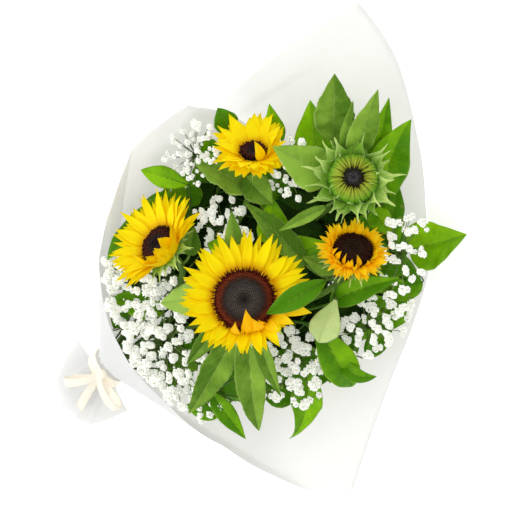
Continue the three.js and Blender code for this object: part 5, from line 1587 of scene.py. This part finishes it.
def paper_room(place):
    """How far a place lies inside the sheet's open edge, for someone whom the blooms face"""
    edge = np.array([row[1:3] for row in PAPER_EDGE]) - PAPER_MIDDLE
    turns = np.arctan2(edge[:, 1], edge[:, 0])
    order = np.argsort(turns)
    away = np.array(flat(place)[:2]) - PAPER_MIDDLE
    turn = math.atan2(away[1], away[0])
    reach = np.interp(turn, turns[order], np.linalg.norm(edge, axis=1)[order], period=2 * math.pi)
    return reach - np.linalg.norm(away)


class Skeleton:
    """The points and edges of a spray, with the girth of its stalks and the size and aim of its blossoms"""

    def __init__(self):
        self.points, self.edges, self.girth, self.size, self.kind, self.aim = [], [], [], [], [], []

    def strand(self, path, start, stop, size=0.0, kind=0, aim=(0, 0, 1)):
        """Adds a stalk, with a blossom of a size at its end. Kind 0 is an open blossom and 1 a closed one."""
        first = len(self.points)
        count = len(path)
        self.points += [(p - CENTRE) * MM for p in path]
        self.edges += [(first + k, first + k + 1) for k in range(count - 1)]
        self.girth += list(np.linspace(start, stop, count) * MM)
        self.size += [0.0] * (count - 1) + [size * MM]
        self.kind += [kind] * count
        self.aim += [tuple(aim)] * count


def spray_spot(spray, share, angle, rise):
    """A place of a spray's patch: how far out from its middle, at which angle and how high over it"""
    across, along, height = spray["at"]
    long, short = spray["reach"]
    turn = math.radians(spray["turn"])
    u, v = long * share * math.cos(angle), short * share * math.sin(angle)
    right = across + u * math.cos(turn) - v * math.sin(turn)
    ahead = along + u * math.sin(turn) + v * math.cos(turn)
    return spot((right, ahead, max(height + rise, 6)))


class BOUQUET_OT_gypsophila(bpy.types.Operator):
    """Make the sprays of gypsophila, with their blossoms clear of petals, leaves and paper"""
    bl_idname = "bouquet.gypsophila"
    bl_label = "Gypsophila"

    def execute(self, context):
        sizes = context.scene.bouquet_sizes
        self.rng = np.random.default_rng(sizes.seed)
        self.solids = barrier(("gypsophila",))
        tree = build_spray_tree()
        blossom, closed = blossom_mesh(), closed_blossom_mesh()
        for spray in SPRAYS:
            skeleton = self.grow(spray, sizes.blossom / MM * spray["bloom"])
            seat = helper("skeleton", skeleton.points, skeleton.edges, girth=skeleton.girth,
                          size=skeleton.size, kind=skeleton.kind, aim=skeleton.aim)
            run_group(seat, tree, {
                "Blossom": blossom, "Bud": closed, "Sides": 5, "Stalk Finish": FINISHES["thin_stem"],
                "Blossom Finish": FINISHES["blossom"],
            })
            made = plain_copy(seat, spray["name"].replace("gypsophila", "white_spray"))
            place_piece(made, "gypsophila", spray["name"])
        for source in (blossom, closed):
            bpy.data.objects.remove(source)
        return {"FINISHED"}

    def free(self, place, room):
        """Whether a place keeps the room it needs from the sheet's open edge and from every solid"""
        from_edge, from_solids = room
        return paper_room(place) >= from_edge and clear(self.solids, place, from_solids)

    def reachable(self, start, place):
        """Whether a straight stalk from a start to a place passes through nothing"""
        way = place - start
        far = np.linalg.norm(way)
        return hit(self.solids, start, way / far, far)[0] is None

    def cluster(self, skeleton, node, out, size, count):
        """A few blossoms on short stalks round a node of a twig"""
        rng = self.rng
        placed = 0
        for _ in range(count):
            aim = unit(out * 0.8 + FACING * 0.7 + rng.normal(0, 0.65, 3))
            tip = node + aim * rng.uniform(*BLOSSOM_STALK)
            if not self.free(tip, BLOSSOM_ROOM) or not self.reachable(node, tip):
                continue
            placed += 1
            bend = (node + tip) / 2 + rng.normal(0, 0.8, 3)
            path = smooth([node, bend, tip], 2)
            facing = unit(aim * 0.6 + FACING * 0.8 + rng.normal(0, 0.35, 3))
            if rng.random() < CLOSED:
                skeleton.strand(path, 0.28, 0.22, rng.uniform(2.4, 3.6), 1, facing)
            else:
                skeleton.strand(path, 0.3, 0.25, size * rng.uniform(0.7, 1.12), 0, facing)
        return placed

    def grow(self, spray, size):
        """The skeleton of one spray: its stem to a hub, then twigs, each from a near end that it can reach"""
        rng = self.rng
        skeleton = Skeleton()
        height = spray["at"][2]
        hub = spray_spot(spray, 0, 0, -min(34, height * 0.5))
        above = unit(spot(spray["at"]) - hub)
        arrive = unit(unit(hub - TIE) + 0.35 * above)
        skeleton.strand(stem_path(spray["slot"], hub, arrive, FINE_STEPS), SPRAY_STEM, SPRAY_STEM * 0.9)
        total = int((spray["twigs"] + spray["more"]) * 0.92 * spray["thick"])
        nodes = [hub + above * 2]
        seats = [(spray, math.sqrt((i + 0.5) / total) * SPREAD, 15) for i in range(total)]
        seats += [(wing, math.sqrt((i + 0.5) / WING_TWIGS), 7)
                  for wing in spray["wings"] for i in range(WING_TWIGS)]
        for i, (patch, share, spread) in enumerate(seats):
            turn = GOLDEN_ANGLE * i + 0.7 * chance(i, spray["twigs"])
            rise = rng.uniform(-1.3, 0.7) * spread + 0.8 * spread * (1 - share)
            node = spray_spot(patch, share, turn, rise)
            if not self.free(node, TWIG_ROOM):
                continue
            near_first = sorted(nodes, key=lambda n: np.linalg.norm(n - node))[:4]
            start = next((n for n in [nodes[0], *near_first] if self.reachable(n, node)), None)
            if start is None:
                continue
            if not self.cluster(skeleton, node, unit(node - hub), size, rng.integers(*TRIES)):
                continue
            nodes.append(node)
            mid = start + (node - start) * 0.5 + above * rng.uniform(1, 5)
            skeleton.strand(smooth([start, mid, node], 4), *TWIG)
        return skeleton


# Metres. The camera is far away and rolled, and its picture as wide as the photo's.
CAMERA_DISTANCE = 6.0
PHOTO_WIDTH = 0.5334
PHOTO_ROLL = math.radians(40)
SENSOR_WIDTH = 36
# Each lamp: its place, size and power
LAMPS = {
    "key": ((-1.2, 1.5, 2.3), 1.3, 13),
    "fill": ((1.5, 0.2, 2.0), 2.4, 5),
    "front": ((-0.8, -1.8, 2.2), 2.0, 34),
}
SKY_STRENGTH = 0.66
FLOOR_REACH, FLOOR_DROP = 9, 0.0004


class BOUQUET_OT_stage(bpy.types.Operator):
    """Make the floor, the lights and the camera"""
    bl_idname = "bouquet.stage"
    bl_label = "Stage"

    def execute(self, context):
        scene = context.scene
        corners = [(x * FLOOR_REACH, y * FLOOR_REACH, -FLOOR_DROP)
                   for x, y in ((-1, -1), (1, -1), (1, 1), (-1, 1))]
        floor = helper("floor", corners, faces=[(0, 1, 2, 3)])
        floor.data.materials.append(finish("Floor", lambda b: (0.8, 0.8, 0.8), 0.9, **{
            "Emission Color": (1.0, 1.0, 1.0), "Emission Strength": 0.55}))
        camera = bpy.data.objects.new("camera", bpy.data.cameras.new("camera"))
        context.collection.objects.link(camera)
        scene.camera = camera
        camera.data.sensor_width = SENSOR_WIDTH
        camera.data.lens = SENSOR_WIDTH * CAMERA_DISTANCE / PHOTO_WIDTH
        camera.data.clip_end = 60
        right = math.sin(PHOTO_ROLL)
        side = HEADWARD * math.cos(PHOTO_ROLL) + ACROSS * right
        up = HEADWARD * right - ACROSS * math.cos(PHOTO_ROLL)
        turn = Matrix((side, up, FACING)).transposed().to_4x4()
        turn.translation = Vector(FACING * CAMERA_DISTANCE - CENTRE * MM)
        camera.matrix_world = turn
        for name, (place, size, power) in LAMPS.items():
            self.light(context, name, place, size, power)
        world = bpy.data.worlds.new("studio")
        scene.world = world
        world.use_nodes = True
        sky = world.node_tree.nodes["Background"]
        sky.inputs["Color"].default_value = (1, 1, 1, 1)
        sky.inputs["Strength"].default_value = SKY_STRENGTH
        scene.view_settings.view_transform = "Standard"
        return {"FINISHED"}

    def light(self, context, name, place, size, power):
        """A square lamp that looks at the bunch"""
        lamp = bpy.data.objects.new(name, bpy.data.lights.new(name, "AREA"))
        context.collection.objects.link(lamp)
        lamp.data.size = size
        lamp.data.energy = power
        lamp.location = place
        lamp.rotation_euler = (-Vector(place)).to_track_quat("-Z", "Y").to_euler()


class BOUQUET_PT_panel(bpy.types.Panel):
    """Lists the sizes, colours and steps of the bunch"""
    bl_idname = "BOUQUET_PT_panel"
    bl_label = "Sunflower Bouquet"
    bl_space_type = "VIEW_3D"
    bl_region_type = "UI"
    bl_category = "Bouquet"

    def draw(self, context):
        for group in (context.scene.bouquet_paper, context.scene.bouquet_tints, context.scene.bouquet_sizes):
            box = self.layout.box()
            for name in group.bl_rna.properties.keys():
                if name not in ("rna_type", "name"):
                    box.prop(group, name)
        for step in STEPS:
            self.layout.operator(step.bl_idname)


GROUPS = {"bouquet_paper": BouquetPaper, "bouquet_tints": BouquetTints, "bouquet_sizes": BouquetSizes}
STEPS = [BOUQUET_OT_finishes, BOUQUET_OT_wrap, BOUQUET_OT_blooms, BOUQUET_OT_bud, BOUQUET_OT_foliage,
         BOUQUET_OT_gypsophila, BOUQUET_OT_stage]


def register():
    for kind in [*GROUPS.values(), *STEPS, BOUQUET_PT_panel]:
        bpy.utils.register_class(kind)
    for name, kind in GROUPS.items():
        setattr(bpy.types.Scene, name, bpy.props.PointerProperty(type=kind))


def unregister():
    for name in GROUPS:
        delattr(bpy.types.Scene, name)
    for kind in [BOUQUET_PT_panel, *reversed(STEPS), *reversed(GROUPS.values())]:
        bpy.utils.unregister_class(kind)


def main():
    register()
    for step in STEPS:
        group, name = step.bl_idname.split(".")
        getattr(getattr(bpy.ops, group), name)()


if __name__ == "__main__":
    main()
